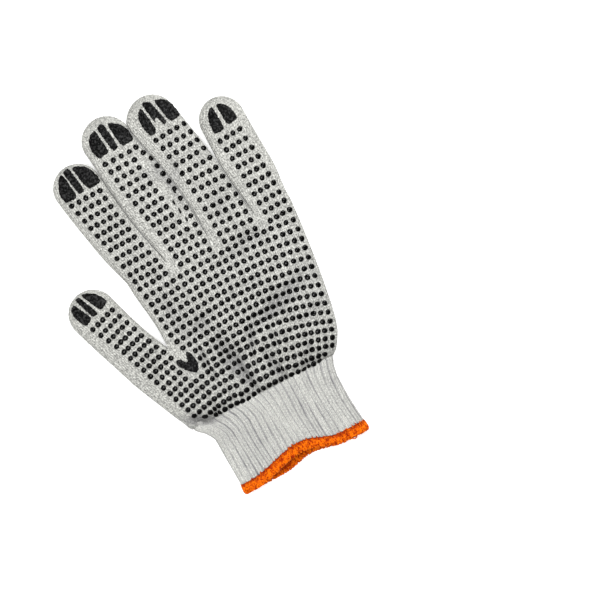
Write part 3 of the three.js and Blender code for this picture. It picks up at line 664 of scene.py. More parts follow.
class Knit:
    """Points and faces of the knitted hand, with wale and course numbers at each face corner."""

    def __init__(self):
        self.points = []
        self.faces = []
        self.uvs = []

    def add(self, ring):
        start = len(self.points)
        self.points.extend(map(tuple, ring))
        return list(range(start, len(self.points)))

    def bridge(self, low, high, low_v, high_v, first_column):
        """Faces from a ring of points to the next ring, or to a single point at a digit's tip."""
        v0, v1 = low_v * COURSES_PER_MM, high_v * COURSES_PER_MM
        for i, point in enumerate(low):
            j = (i + 1) % len(low)
            u0 = (first_column + i) * WALES_PER_CELL
            u1 = (first_column + i + 1) * WALES_PER_CELL
            if len(high) == 1:
                self.faces.append((point, low[j], high[0]))
                self.uvs.extend([(u0, v0), (u1, v0), (u0 + WALES_PER_CELL / 2, v1)])
            else:
                self.faces.append((point, low[j], high[j], high[i]))
                self.uvs.extend([(u0, v0), (u1, v0), (u1, v1), (u0, v1)])

    def web(self, front, back):
        """A line of points between the palm and the back, where two digits part."""
        a, b = np.array(self.points[front]), np.array(self.points[back])
        shares = np.arange(1, SIDE_CELLS) / SIDE_CELLS
        return self.add([lerp(a, b, s) for s in shares])


def ring_parts(ring, cells):
    """Front and back points by column, and the two sides from front to back."""
    half = SIDE_CELLS // 2
    total = cells + SIDE_CELLS
    front = [ring[half + j] for j in range(cells + 1)]
    back = [ring[total + cells + half - j] for j in range(cells + 1)]
    left = ring[:half][::-1] + ring[total + cells + half + 1:][::-1]
    right = ring[half + cells + 1:total + half]
    return front, back, left, right


def joined_ring(front, back, left, right):
    half = SIDE_CELLS // 2
    return left[:half][::-1] + front + right + back[::-1] + left[half:][::-1]


def crotch_anchors(cells_before, lead_cells, lead_share):
    """Where the finger columns begin on a palm row: (across, cell number)."""
    half = SIDE_CELLS // 2
    marks = []
    for finger, before in list(zip(FINGERS, cells_before))[1:]:
        share = (finger["from"] - FINGERS[0]["from"]) / (FINGERS[-1]["to"] - FINGERS[0]["from"])
        across = 2 * (lead_share + (1 - lead_share) * share) - 1
        marks.append((across, half + lead_cells + before))
    return marks


def palm_rows(knit, section, full_length, cells, anchors, below, start_v, first_column):
    """Add a palm section's rows, which blend out of the ring below where there is one."""
    rows = int(round(full_length / CELL))
    shapes = [section_ring(partial(section, j / rows), cells, anchors) for j in range(rows + 1)]
    ring = below or knit.add(shapes[0])
    offset = np.array([knit.points[i] for i in ring]) - shapes[0]
    for j in range(1, rows + 1):
        length = j / rows
        made = knit.add(shapes[j] + offset * (1 - smooth(length * full_length / ROOT_BLEND)))
        v0 = start_v + (j - 1) / rows * full_length
        knit.bridge(ring, made, v0, start_v + length * full_length, first_column)
        ring = made
    return ring_parts(ring, cells)


def build_digit(knit, digit, root, start_v, first_column):
    """Add a digit's rings from its root, which the palm shares, to its tip."""
    body = digit["length"] - TIP_CAP
    distances = list(np.linspace(0, body, int(round(body / CELL)) + 1)[1:])
    angles = np.radians(np.linspace(0, 90, TIP_RINGS)[1:-1])
    distances += list(body + TIP_CAP * np.sin(angles))
    at = stations(digit, np.array([0.0, *distances]))
    at["left"], at["left_touch"] = held_reach(digit, -1, at)
    at["right"], at["right_touch"] = held_reach(digit, 1, at)

    def ring_at(index):
        here = {key: value[index] for key, value in at.items()}
        return section_ring(partial(digit_section, digit, here), digit["columns"])

    last = np.array([knit.points[i] for i in root])
    offset = last - ring_at(0)
    below, v = root, start_v
    for index, distance in enumerate(distances, start=1):
        made = ring_at(index) + offset * (1 - smooth(distance / ROOT_BLEND))
        ring = knit.add(made)
        step = np.linalg.norm(made - last, axis=1).mean()
        knit.bridge(below, ring, v, v + step, first_column)
        below, last, v = ring, made, v + step
    tip = stations(digit, np.array([digit["length"]]))
    point = (float(tip["x"][0]), float(tip["y"][0]), MIDDLE_SHARE * digit["thick"])
    step = np.linalg.norm(last - point, axis=1).mean()
    knit.bridge(below, knit.add([point]), v, v + step, first_column)


def build_hand():
    knit = Knit()
    columns = [finger["columns"] for finger in FINGERS]
    before = [sum(columns[:i]) for i in range(len(columns))]
    four = sum(columns)
    corner = THUMB["columns"]

    anchors = [(2 * THUMB_CORNER - 1, SIDE_CELLS // 2 + corner)]
    anchors += crotch_anchors(before, corner, THUMB_CORNER)
    front, back, left, right = palm_rows(
        knit, lower_palm_section, LOWER_PALM_LENGTH, corner + four, anchors, None, 0, 0)
    web = knit.web(front[corner], back[corner])
    thumb_root = joined_ring(front[:corner + 1], back[:corner + 1], left, web)
    build_digit(knit, THUMB, thumb_root, LOWER_PALM_LENGTH, 0)

    below = joined_ring(front[corner:], back[corner:], web, right)
    front, back, left, right = palm_rows(knit, upper_palm_section, UPPER_PALM_LENGTH, four,
                                         crotch_anchors(before, 0, 0), below, LOWER_PALM_LENGTH, corner)
    webs = [left, *[knit.web(front[c], back[c]) for c in before[1:]], right]
    for place, finger in enumerate(FINGERS):
        a = before[place]
        b = a + finger["columns"]
        root = joined_ring(front[a:b + 1], back[a:b + 1], webs[place], webs[place + 1])
        build_digit(knit, finger, root, KNUCKLE_ROW, corner + a)
    return knit


# Meshes in metres, in the row frame
def plane_origin():
    """Where x = 0, y = 0 of the glove's own plane lies in the row frame, in metres."""
    low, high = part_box("upper_palm")
    x = (low.x + high.x) / 2 - PALM_MIDDLE * HAND_WIDTH * MM
    return x, high.y - (KNUCKLE_ROW - SECTION_GAP / 2) * MM


ORIGIN_X, ORIGIN_Y = plane_origin()


def to_row(points):
    made = np.array(points, float) * MM
    made[:, 0] += ORIGIN_X
    made[:, 1] += ORIGIN_Y
    return made


def add_object(name, data):
    obj = bpy.data.objects.new(name, data)
    bpy.context.scene.collection.objects.link(obj)
    return obj


def make_piece(name, points, faces, maps, material, slot, *nodes):
    """A piece on the body, which stands in for the named nodes of the solids."""
    mesh = bpy.data.meshes.new(name)
    mesh.from_pydata([tuple(p) for p in to_row(points)], [], faces)
    for map_name, values in maps.items():
        layer = mesh.uv_layers.new(name=map_name)
        layer.data.foreach_set("uv", np.array(values, np.float32).ravel())
    mesh.materials.append(material)
    mesh.polygons.foreach_set("use_smooth", [True] * len(mesh.polygons))
    mesh.update()
    obj = add_object(name, mesh)
    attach(obj, "root")
    if nodes:
        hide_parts(*nodes)
    return obj


# Ribbing
def even_shares(count):
    """Places round the ribbing's section at even steps of its girth: (across, whether on top)."""
    fine = -np.cos(np.linspace(0, math.pi, CUFF_FINE_ARC + 1))
    x = fine * CUFF_HALF_SHARE * HAND_WIDTH
    upper, lower = (section_height(fine, np.full(fine.shape, top), CUFF_THICKNESS, PALM_SQUARENESS)
                    for top in (True, False))
    loop_x = np.concatenate([x[::-1], x[1:]])
    loop_z = np.concatenate([upper[::-1], lower[1:]])
    share = np.concatenate([fine[::-1], fine[1:]])
    top = np.arange(len(share)) < len(fine)
    girth = np.concatenate([[0], np.cumsum(np.hypot(np.diff(loop_x), np.diff(loop_z)))])
    wanted = np.arange(count) / count * girth[-1]
    return np.interp(wanted, girth, share), np.interp(wanted, girth, top) > 0.5


def left_bulge(y, across):
    away = (y - LEFT_WRIST_BULGE["y"]) / LEFT_WRIST_BULGE["length"]
    return LEFT_WRIST_BULGE["out"] * np.exp(-away * away) * smooth(-across * 2 - 1)


def mouth_arch(across, top):
    def arch(shape):
        reach = np.where(across < shape["peak"], shape["left"], shape["right"])
        away = np.minimum(np.abs(across - shape["peak"]) / reach, 1)
        return shape["rise"] * (0.5 + 0.5 * np.cos(math.pi * away))
    return np.where(top, arch(ARCH_PALM), arch(ARCH_BACK))


def cuff_point(down, across, top, inset, below=0.0):
    left, right, puff = between_keys(CUFF_ROWS, down)
    half = (right - left) * HAND_WIDTH / 2
    share = (1 + across * (1 - inset / half)) / 2
    x = lerp(left, right, share) * HAND_WIDTH
    y = -down * (CUFF_LENGTH - mouth_arch(across, top)) - below
    x = x - left_bulge(y, across)
    z = section_height(across, top, CUFF_THICKNESS * puff, PALM_SQUARENESS, inset)
    z = z - fold_depth(x, y) * fold_hold(across, top)
    return np.stack([x, y, z], axis=1)


def outward(down, across, top):
    out = cuff_point(down, across, top, 0.0) - cuff_point(down, across, top, CUFF_WALL)
    out[:, 1] = 0
    return unit(out)


def build_cuff():
    count = RIB_COUNT * STEPS_PER_RIB
    across, top = even_shares(count)
    column = np.arange(count) / STEPS_PER_RIB
    rib = column.astype(int)
    strength = rng.uniform(*RIB_STRENGTHS, RIB_COUNT)[rib]
    downs = np.concatenate([TUCKED_RINGS, np.linspace(0, 1, CUFF_RINGS)])
    outer, inner, grooves = [], [], []
    for down in downs:
        tuck = smooth((TUCK_END - down) / TUCK_OVER) * CUFF_TUCK_INSET
        at = max(down, 0.0)
        sway = RIB_SWAY * np.sin(SWAY_DOWN * down + SWAY_NEXT * rib)
        ring = cuff_point(at, across, top, tuck)
        start = RIBS_START + RIBS_START_WIDTH * down
        shown = smooth((ring[:, 0] - start) / RIBS_START_WIDTH)
        turn = math.pi * (column + sway)
        groove = np.maximum(1 - np.abs(np.sin(turn)) ** RIB_EDGE_POWER,
                            MID_RIB_LINE * (1 - np.abs(np.cos(turn)) ** RIB_EDGE_POWER))
        groove = groove * strength * lerp(FAINTEST_RIB, 1, shown)
        # Painted shade: the ribbing is darker in the grooves between ribs and down in folds, as a map of the
        # mesh keeps it
        folded = np.where(top, np.clip(fold_depth(ring[:, 0], ring[:, 1]) / DEEP_FOLD, 0, 1), 0)
        grooves.append(np.maximum(groove, folded * FOLD_IN_RIBS))
        height = RIB_HEIGHT * (1 - groove)
        ring[:, 1] += max(-down, 0) * CUFF_LENGTH
        push = outward(at, across, top)
        outer.append(ring + push * (height - RIB_HEIGHT)[:, None])
        shell = cuff_point(at, across, top, tuck + CUFF_WALL)
        shell[:, 1] = ring[:, 1]
        inner.append(shell + push * (height * INNER_RIB_SHARE)[:, None])
    faces = loft(len(downs) * 2, count)
    depths = np.concatenate([np.array(grooves).ravel(), np.zeros(len(downs) * count)])
    levels = np.concatenate([downs, downs[::-1]]) * CUFF_LENGTH
    uvs = []
    for j, level in enumerate(levels):
        v0, v1 = level * COURSES_PER_MM, levels[(j + 1) % len(levels)] * COURSES_PER_MM
        for i in range(count):
            u0 = WALES_PER_RIB * i / STEPS_PER_RIB
            u1 = WALES_PER_RIB * (i + 1) / STEPS_PER_RIB
            uvs.extend([(u0, v0), (u1, v0), (u1, v1), (u0, v1)])
    return np.concatenate(outer + inner[::-1]), faces, {"stitches": uvs, "hollows": corner_map(depths, faces)}


# Overlock hem
def hem_line(count):
    """Centres of the hem round the mouth, and the direction outward at each."""
    across, top = even_shares(count)
    centre = cuff_point(1.0, across, top, CUFF_WALL / 2, SECTION_GAP + HEM_WIDTH / 2)
    centre[:, 2] = np.maximum(centre[:, 2], HEM_THICKNESS / 2)
    return centre, outward(1.0, across, top)


HEM_CENTRES, HEM_OUTS = hem_line(WRAP_COUNT * HEM_STEPS)


def hem_at(places):
    """The hem's centre and outward direction at places counted in wraps."""
    index = np.arange(len(HEM_CENTRES) + 1)
    wrapped = places * HEM_STEPS % len(HEM_CENTRES)
    return [on_loop(values, index, wrapped) for values in (HEM_CENTRES, HEM_OUTS)]


def tube(path, radius, sides, closed):
    """Points and faces of a thread along a path."""
    count = len(path)
    if closed:
        ahead = unit(np.roll(path, -1, axis=0) - np.roll(path, 1, axis=0))
    else:
        ahead = unit(np.gradient(path, axis=0))
    side = unit(np.cross(ahead, ANY_SLANT))
    up = np.cross(ahead, side)
    angles = turns(sides)
    radius = np.broadcast_to(radius, (count,))
    rings = path[:, None, :] + radius[:, None, None] * (
        np.cos(angles)[None, :, None] * side[:, None, :] + np.sin(angles)[None, :, None] * up[:, None, :])
    faces = loft(count, sides, closed)
    if not closed:
        faces.append(tuple(range(sides))[::-1])
        faces.append(tuple((count - 1) * sides + i for i in range(sides)))
    return rings.reshape(-1, 3), faces


def squared(value):
    return np.sign(value) * np.abs(value) ** HEM_POWER


def hem_section(angles, less):
    """Offsets along and across the hem's thickness round its section, smaller by less."""
    thick = squared(np.cos(angles)) * (HEM_THICKNESS / 2 - less)
    wide = squared(np.sin(angles)) * (HEM_WIDTH / 2 - less)
    return thick, wide


def rise_of(wide):
    """How near the ribbing a place on the hem's section is, from 0 to 1."""
    return smooth((wide / HEM_WIDTH - RISE_FROM) / RISE_OVER)


def build_hem_core():
    count = len(HEM_CENTRES)
    angles = turns(CORE_SIDES, 0.5)
    thick, wide = hem_section(angles, THREAD_RADIUS * CORE_INSET)
    wide = np.where(wide > 0, wide + PACKED_REACH, wide)
    core = HEM_CENTRES[:, None, :] + thick[None, :, None] * HEM_OUTS[:, None, :]
    core[:, :, 1] += wide[None, :]
    faces = [(a, d, c, b) for a, b, c, d in loft(count, CORE_SIDES)]
    return core.reshape(-1, 3), faces, {"rise": corner_map(np.tile(rise_of(wide), count), faces)}


def build_hem_threads():
    """Slanted wraps that reach unevenly up the ribbing, a chain along each side and a loose end."""
    points, faces, rises = [], [], []

    def add(path, radius, sides, closed, rise=0.0):
        start = sum(len(p) for p in points)
        made, made_faces = tube(path, radius, sides, closed)
        points.append(made)
        faces.extend(tuple(i + start for i in face) for face in made_faces)
        rises.append(np.repeat(np.broadcast_to(rise, (len(path),)), sides))

    angles = turns(WRAP_STEPS)
    for wrap in range(WRAP_COUNT):
        for slant in (-1, 1):
            reach = rng.uniform(*WRAP_REACHES)
            turn = slant * WRAP_SLANT * rng.uniform(*WRAP_TURNS)
            centre, out = hem_at(wrap + turn * np.sin(angles) + rng.uniform(-WRAP_SHIFT, WRAP_SHIFT))
            thick, wide = hem_section(angles, THREAD_RADIUS * rng.uniform(*WRAP_INSETS))
            wide = np.where(wide > 0, wide + reach * np.sin(angles) ** 2, wide)
            path = centre + thick[:, None] * out
            path[:, 1] += wide
            path[:, 2] = np.maximum(path[:, 2], WRAP_FLOOR)
            add(path, THREAD_RADIUS * rng.uniform(*WRAP_RADII), WRAP_SIDES, True, rise_of(wide))

    places = np.arange(WRAP_COUNT * CHAIN_STEPS) / CHAIN_STEPS
    centre, out = hem_at(places)
    for side in (-1, 1):
        path = centre + side * out * (HEM_THICKNESS / 2 - CHAIN_SINK)
        path[:, 1] += HEM_WIDTH * CHAIN_LEVEL + CHAIN_SWING * np.sin(places * 2 * math.pi)
        path[:, 2] = np.maximum(path[:, 2], CHAIN_FLOOR)
        add(path, CHAIN_RADIUS, CHAIN_SIDES, True)

    steps = np.linspace(0, 1, LOOSE_STEPS)
    curl = np.stack([LOOSE_END[0] + LOOSE_CURL[0] * np.cos(LOOSE_WIND * steps) * (1 - LOOSE_TAPER * steps),
                     LOOSE_END[1] + LOOSE_CURL[1] * np.sin(LOOSE_WIND * steps) - LOOSE_DROP[0] * steps,
                     LOOSE_END[2] - LOOSE_DROP[1] * steps], axis=1)
    add(curl, LOOSE_RADIUS, WRAP_SIDES, False)
    return np.concatenate(points), faces, {"rise": corner_map(np.concatenate(rises), faces)}


# Dots
def bunched(x, y):
    for centre_x, centre_y, lean, reach, length, draw in BUNCHES:
        dx = x - centre_x - lean * (y - centre_y)
        near = math.exp(-(dx / reach) ** 2 - ((y - centre_y) / length) ** 2)
        x -= draw * dx * near
    return x


def dipped(x, y):
    for centre_x, centre_y, reach, length, drop in DIPS:
        y -= drop * math.exp(-((x - centre_x) / reach) ** 2 - ((y - centre_y) / length) ** 2)
    return y


def dot_row(columns, skew, x0, y0, x1, y1, rise=None):
    """Centres of a row of dots, with how much each is squeezed across."""
    made = []
    for column in range(columns):
        share = column / (columns - 1)
        x, y = lerp(x0, x1, share), lerp(y0, y1, share)
        if rise is None:
            made.append((x, y, 1.0))
            continue
        lifted = share ** skew
        y += rise * 4 * lifted * (1 - lifted)
        squeeze = bunched(x + 0.5, y) - bunched(x - 0.5, y)
        made.append((bunched(x, y), dipped(x, y), squeeze))
    return made


def all_dots():
    dots = []
    for columns, rows, keys in DIGIT_DOTS.values():
        for row in range(rows):
            dots += dot_row(columns, 1, *between_keys(keys, row))
    dots += [(*between_keys(PUSHED_COLUMN, row), 1.0) for row in range(PUSHED_ROWS)]
    dots += SWALLOWED_DOTS
    for row in range(PALM_DOT_ROWS[-1][0] + 1):
        dots += dot_row(PALM_DOT_COLUMNS, PALM_DOT_SKEW, *between_keys(PALM_DOT_ROWS, row))
    for columns, *ends in HEEL_DOT_ROWS:
        dots += dot_row(columns, HEEL_DOT_SKEW, *ends)
    return [dot for dot in dots if not near_crotch_grip(*dot[:2])]


def edge_distance(places, border):
    """How far places lie from a closed line."""
    edge = np.roll(border, -1, axis=0) - border
    gap = places[:, None, :] - border[None, :, :]
    share = np.clip((gap * edge).sum(2) / (edge ** 2).sum(1), 0, 1)
    return np.linalg.norm(gap - share[:, :, None] * edge, axis=2).min(1)


def near_crotch_grip(x, y):
    """Whether a point lies in the crotch grip's outline or within a dot's reach of it."""
    corners = np.array(GRIPS["thumb_crotch_grip"])
    ax, ay = corners.T
    bx, by = np.roll(corners, -1, axis=0).T
    crossed = ((ay > y) != (by > y)) & (x < (bx - ax) * (y - ay) / (by - ay) + ax)
    return crossed.sum() % 2 == 1 or edge_distance(np.array([(x, y)]), corners)[0] < CROTCH_GRIP_REACH


def surface_at(tree, x, y):
    """Point and normal of the knit straight under a place, or nearest to a place beside the glove."""
    hit, normal, _, _ = tree.ray_cast(Vector((x, y, RAY_HEIGHT)), Vector((0, 0, -1)))
    if hit is None:
        hit, normal, _, _ = tree.find_nearest(Vector((x, y, PALM_THICKNESS / 2)))
    return np.array(hit), np.array(normal)


def build_dots(tree):
    points, faces = [], []
    angles = turns(DOT_SIDES)
    rings = len(DOT_PROFILE)
    around = loft(rings, DOT_SIDES, False)
    last = (rings - 1) * DOT_SIDES
    start = 0
    for x, y, squeeze in all_dots():
        x += rng.uniform(-DOT_JITTER, DOT_JITTER)
        y += rng.uniform(-DOT_JITTER, DOT_JITTER)
        size = DOT_DIAMETER / 2 * rng.uniform(*DOT_SIZES)
        lumps = 1 + sum(high * np.sin(count * angles + rng.uniform(0, LUMP_TURN))
                        for count, high in DOT_LUMPS)
        point, normal = surface_at(tree, x, y)
        side = np.cross([0, 1, 0], normal)
        side /= np.linalg.norm(side)
        ahead = np.cross(normal, side)
        for reach, height in DOT_PROFILE:
            r = size * reach * lumps
            points.append(point + normal * height + (squeeze * r * np.cos(angles))[:, None] * side + (
                r * np.sin(angles))[:, None] * ahead)
        points.append(np.stack([point + normal * DOT_HEIGHT, point - normal * DOT_SINK]))
        top = start + rings * DOT_SIDES
        faces += [tuple(i + start for i in face) for face in around]
        for i in range(DOT_SIDES):
            n = (i + 1) % DOT_SIDES
            faces.append((start + last + i, start + last + n, top))
            faces.append((start + n, start + i, top + 1))
        start = top + 2
    return np.concatenate(points), faces, {}


# Grips
def resampled(loop, step):
    """A closed line with its corners at even steps."""
    edges = np.roll(loop, -1, axis=0) - loop
    lengths = np.concatenate([[0], np.cumsum(np.linalg.norm(edges, axis=1))])
    count = int(lengths[-1] / step)
    return on_loop(loop, lengths, np.arange(count) / count * lengths[-1])


def rounded(loop, times):
    """A loop with its corners cut a few times, so that they come out round."""
    loop = np.array(loop, float)
    for _ in range(times):
        ahead = np.roll(loop, -1, axis=0)
        near = (1 - CORNER_CUT) * loop + CORNER_CUT * ahead
        far = CORNER_CUT * loop + (1 - CORNER_CUT) * ahead
        loop = np.stack([near, far], axis=1).reshape(-1, 2)
    return loop


def build_grip(loop, tree):
    """A raised patch that follows the knit inside a plan outline."""
    border = resampled(loop, GRIP_CELL)
    border = border + rng.uniform(-GRIP_RAGGEDNESS, GRIP_RAGGEDNESS, border.shape)
    low, high = border.min(0), border.max(0)
    xs = np.arange(low[0] + GRIP_CELL / 2, high[0], GRIP_CELL)
    ys = np.arange(low[1] + GRIP_CELL / 2, high[1], GRIP_CELL)
    grid = np.array([(x, y) for x in xs for y in ys])
    grid = grid[edge_distance(grid, border) > GRIP_CELL * 0.5]
    count = len(border)
    plan = [Vector(p) for p in np.concatenate([border, grid])]
    edges = [(i, (i + 1) % count) for i in range(count)]
    plan, _, triangles, originals, _, _ = delaunay_2d_cdt(plan, edges, [list(range(count))], 1, JOIN_DISTANCE)
    plan = np.array([tuple(p) for p in plan])
    distance = edge_distance(plan, border)
    edge = 1 - np.clip(distance / GRIP_EDGE, 0, 1)
    rise = GRIP_HEIGHT * np.sqrt(np.clip(1 - edge ** 2, GRIP_LEAST_RISE, 1))
    top, under = [], []
    for (x, y), up in zip(plan, rise):
        point, normal = surface_at(tree, x, y)
        top.append(point + normal * up)
        under.append(point - normal * GRIP_SINK)
    total = len(plan)
    faces = [tuple(t) for t in triangles] + [tuple(i + total for i in t[::-1]) for t in triangles]
    where = {originals[i][0]: i for i in range(total) if originals[i]}
    for i in range(count):
        a, b = where[i], where[(i + 1) % count]
        faces.append((a, a + total, b + total, b))
    return np.array(top + under), faces, {}


# Materials
class Nodes:
    """A short way to write a material's node tree."""

    def __init__(self, name):
        self.material = bpy.data.materials.new(name)
        self.material.use_nodes = True
        self.tree = self.material.node_tree
        self.shader = self.tree.nodes["Principled BSDF"]
        self.where = self.node("ShaderNodeTexCoord").outputs["Object"]

    def give(self, socket, value):
        if isinstance(value, bpy.types.NodeSocket):
            self.tree.links.new(value, socket)
        elif isinstance(value, tuple):
            socket.default_value = (*value, 1)
        else:
            socket.default_value = value

    def node(self, kind, inputs=None, **settings):
        made = self.tree.nodes.new(kind)
        for key, value in settings.items():
            setattr(made, key, value)
        for key, value in (inputs or {}).items():
            self.give(made.inputs[key], value)
        return made

    def math(self, operation, *values):
        return self.node("ShaderNodeMath", dict(enumerate(values)), operation=operation).outputs[0]

    def noise(self, scale, detail=2.0):
        inputs = {"Vector": self.where, "Scale": scale, "Detail": detail}
        return self.node("ShaderNodeTexNoise", inputs).outputs["Fac"]

    def ramp(self, factor, low, high):
        inputs = {"Value": factor, "To Min": low, "To Max": high}
        return self.node("ShaderNodeMapRange", inputs).outputs[0]

    def mix(self, factor, a, b):
        return self.node("ShaderNodeMix", {0: factor, 6: a, 7: b}, data_type="RGBA").outputs[2]

    def map_values(self, name):
        """The two numbers that a map of the mesh holds."""
        uv = self.node("ShaderNodeUVMap", uv_map=name).outputs[0]
        return self.node("ShaderNodeSeparateXYZ", {0: uv}).outputs[:2]

    def finish(self, colour, roughness, height, distance, strength, **inputs):
        """Set the shader's sockets, with a bump of the given height."""
        bump = self.node("ShaderNodeBump", {"Height": height, "Distance": distance, "Strength": strength})
        self.set(Base_Color=colour, Roughness=roughness, Normal=bump.outputs[0], **inputs)
        return self.material

    def set(self, **inputs):
        for key, value in inputs.items():
            self.give(self.shader.inputs[key.replace("_", " ")], value)


# Colour of the painted shade down in folds and in the grooves between ribs
PAINTED_SHADE_COLOUR = (0.14, 0.137, 0.152)
DEEP_THREAD_COLOUR = (0.2, 0.012, 0.001)
RUBBER_COLOUR = (0.0005, 0.0005, 0.0005)
LEG_SLANT = 1.3
SHADE_OF_STITCH = (0.5, 0.98)


def knit_material(name, light, dark, stitch_height, speckle_scale, hollow_shades):
    """Knit from the wale and course numbers: two slanted legs a stitch, in uneven, speckled yarn.

    Painted shade darkens it between stitches, down in folds and in rib grooves, whose depth a map holds."""
    made = Nodes(name)
    wale, course = made.map_values("stitches")
    u = made.math("ADD", wale, made.ramp(made.noise(420.0), -0.36, 0.36))
    v = made.math("ADD", course, made.ramp(made.noise(480.0), -0.6, 0.6))
    leg = made.math("PINGPONG", u, 0.5)
    slanted = made.math("MULTIPLY_ADD", leg, LEG_SLANT, v)
    wave = made.math("SINE", made.math("MULTIPLY", slanted, 2 * math.pi))
    bead = made.math("MULTIPLY_ADD", wave, 0.5, 0.5)
    across = made.math("SINE", made.math("MULTIPLY", leg, 2 * math.pi))
    height = made.math("MULTIPLY", across, made.math("MULTIPLY_ADD", bead, 0.65, 0.35))
    fuzz = made.noise(1500.0, 4.0)
    height = made.math("MULTIPLY_ADD", fuzz, 0.9, height)
    speckle = made.ramp(made.noise(speckle_scale, 4.0), -1.6, 2.6)
    blotch = made.noise(60.0)
    tone = made.math("MULTIPLY_ADD", blotch, 0.25, made.math("MULTIPLY", speckle, 0.75))
    base = made.mix(tone, dark, light)
    # Painted shade: the yarn is darker where the stitch height is low, between the stitches
    shade = made.ramp(height, *SHADE_OF_STITCH)
    # Painted shade: the colour goes towards a shade colour by how deep in a fold or rib groove a place lies
    shades = made.ramp(made.noise(130.0), *hollow_shades)
    hollow = made.math("MULTIPLY", made.map_values("hollows")[0], shades)
    lit = made.node("ShaderNodeVectorMath", {0: base, 1: shade}, operation="MULTIPLY")
    colour = made.mix(hollow, lit.outputs[0], PAINTED_SHADE_COLOUR)
    return made.finish(colour, 0.92, height, stitch_height, 1.0,
                       Sheen_Weight=0.08, Sheen_Roughness=0.6, Specular_IOR_Level=0.12)


def thread_material(name, dark, light):
    """Uneven thread, a deeper red where the rise map is high."""
    made = Nodes(name)
    strand = made.noise(1100.0, 3.0)
    patch = made.noise(450.0)
    tone = made.math("MULTIPLY_ADD", strand, 0.6, made.math("MULTIPLY", patch, 0.4))
    colour = made.mix(made.ramp(tone, -2.4, 3.6), dark, light)
    deep = made.math("MULTIPLY", made.map_values("rise")[0], made.ramp(made.noise(900.0), -0.9, 2.3))
    colour = made.mix(deep, colour, DEEP_THREAD_COLOUR)
    return made.finish(colour, 0.7, strand, 0.0002, 0.8, Specular_IOR_Level=0.05)


def rubber_material(name, grain_height, glint_grey, roughness, gloss):
    """Black print with a fine grain. Paler specks are painted glints of the patches' glossy knit imprint."""
    made = Nodes(name)
    grain = made.noise(1100.0, 3.0)
    # Painted glints: paler specks mixed into the black base colour
    painted_glints = made.ramp(made.noise(800.0, 3.0), -3.2, 3.4)
    colour = made.mix(painted_glints, RUBBER_COLOUR, (glint_grey, glint_grey, glint_grey))
    roughness = made.ramp(grain, *roughness)
    return made.finish(colour, roughness, grain, grain_height, 0.8, Specular_IOR_Level=gloss)


def floor_material():
    made = Nodes("floor_white")
    colour = made.mix(made.noise(3.0), FLOOR_DARK, FLOOR_LIGHT)
    made.set(Base_Color=colour, Roughness=0.9, Emission_Color=(1, 1, 1), Emission_Strength=FLOOR_GLOW)
    return made.material


# The camera is above the palm and turned as in the reference, with soft light all round
def make_camera():
    data = bpy.data.cameras.new("camera")
    data.lens = CAMERA_LENS
    data.sensor_width = SENSOR_WIDTH
    data.clip_end = CAMERA_REACH_M
    camera = add_object("camera", data)
    height = PICTURE_WIDTH * CAMERA_LENS / SENSOR_WIDTH + PALM_SIDE_HEIGHT
    camera.location = (CAMERA_CENTRE[0] * MM, CAMERA_CENTRE[1] * MM, height * MM)
    camera.rotation_euler = (0, 0, CAMERA_TURN)
    bpy.context.scene.camera = camera


def add_area_light(name, place_m, size, power):
    """A round light that shines at the middle of the floor."""
    data = bpy.data.lights.new(name, "AREA")
    data.shape = "DISK"
    data.size = size
    data.energy = power
    light = add_object(name, data)
    light.location = place_m
    light.rotation_euler = Vector(place_m).to_track_quat("Z", "Y").to_euler()


def make_studio():
    mesh = bpy.data.meshes.new("floor")
    corners = [(-1, -1), (1, -1), (1, 1), (-1, 1)]
    mesh.from_pydata([(x * FLOOR_HALF_M, y * FLOOR_HALF_M, 0) for x, y in corners], [], [(0, 1, 2, 3)])
    mesh.materials.append(floor_material())
    floor = add_object("floor", mesh)
    world = bpy.data.worlds.new("studio")
    world.use_nodes = True
    background = world.node_tree.nodes["Background"]
    background.inputs[0].default_value = (1, 1, 1, 1)
    background.inputs[1].default_value = SKY_STRENGTH
    bpy.context.scene.world = world
    for light in LIGHTS:
        add_area_light(*light)
    bpy.context.scene.view_settings.view_transform = "Standard"


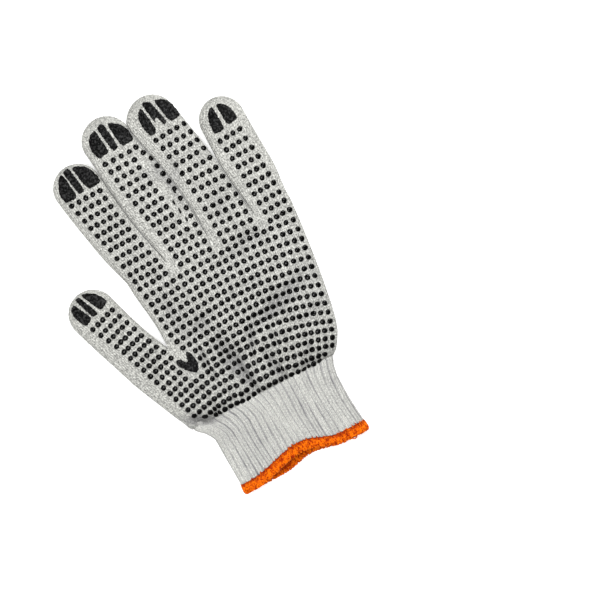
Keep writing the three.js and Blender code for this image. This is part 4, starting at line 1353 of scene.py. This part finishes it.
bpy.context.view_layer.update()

cotton = knit_material("cotton_knit", light=(0.7, 0.7, 0.655), dark=(0.25, 0.25, 0.235),
                       stitch_height=0.0006, speckle_scale=1000.0, hollow_shades=(0.25, 0.7))
ribbing = knit_material("cotton_rib", light=(0.75, 0.75, 0.7), dark=(0.45, 0.45, 0.425),
                        stitch_height=0.0004, speckle_scale=1300.0, hollow_shades=(0.35, 1.5))
overlock = thread_material("overlock_thread", dark=(0.33, 0.022, 0.001), light=(0.85, 0.175, 0.002))
# The packed threads are a darker orange than the wraps: partly their own colour, partly painted shade in the
# gaps between the wraps
packed_thread = thread_material("packed_thread", dark=(0.25, 0.02, 0.001), light=(0.5, 0.06, 0.002))
dot_rubber = rubber_material("dot_rubber", grain_height=0.00004, glint_grey=0.001, roughness=(0.04, 0.12),
                             gloss=0.1)
patch_rubber = rubber_material("patch_rubber", grain_height=0.0006, glint_grey=0.028, roughness=(0.15, 0.4),
                               gloss=0.05)

hand = build_hand()
hand_points = np.array(hand.points)
hand_tree = BVHTree.FromPolygons([tuple(p) for p in hand_points], hand.faces)
hand_maps = {"stitches": hand.uvs, "hollows": corner_map(fold_shades(hand_points), hand.faces)}
glove_hand = make_piece("knitted_hand", hand_points, hand.faces, hand_maps, cotton, "cotton_knit",
                        "lower_palm", "upper_palm", "thumb", *[finger["name"] for finger in FINGERS])
wall = glove_hand.modifiers.new("wall", "SOLIDIFY")
wall.thickness = HAND_WALL * MM
wall.offset = -1

make_piece("ribbed_cuff", *build_cuff(), ribbing, "cotton_rib", "wrist_cuff")
make_piece("overlock_core", *build_hem_core(), packed_thread, "overlock_thread", "hem_edging")
make_piece("overlock_threads", *build_hem_threads(), overlock, "overlock_thread")
make_piece("grip_dots", *build_dots(hand_tree), dot_rubber, "grip_rubber")
for node, corners in GRIPS.items():
    patch = build_grip(rounded(corners, GRIP_ROUNDINGS), hand_tree)
    make_piece(node + "_patch", *patch, patch_rubber, "grip_rubber", node)

make_studio()
make_camera()
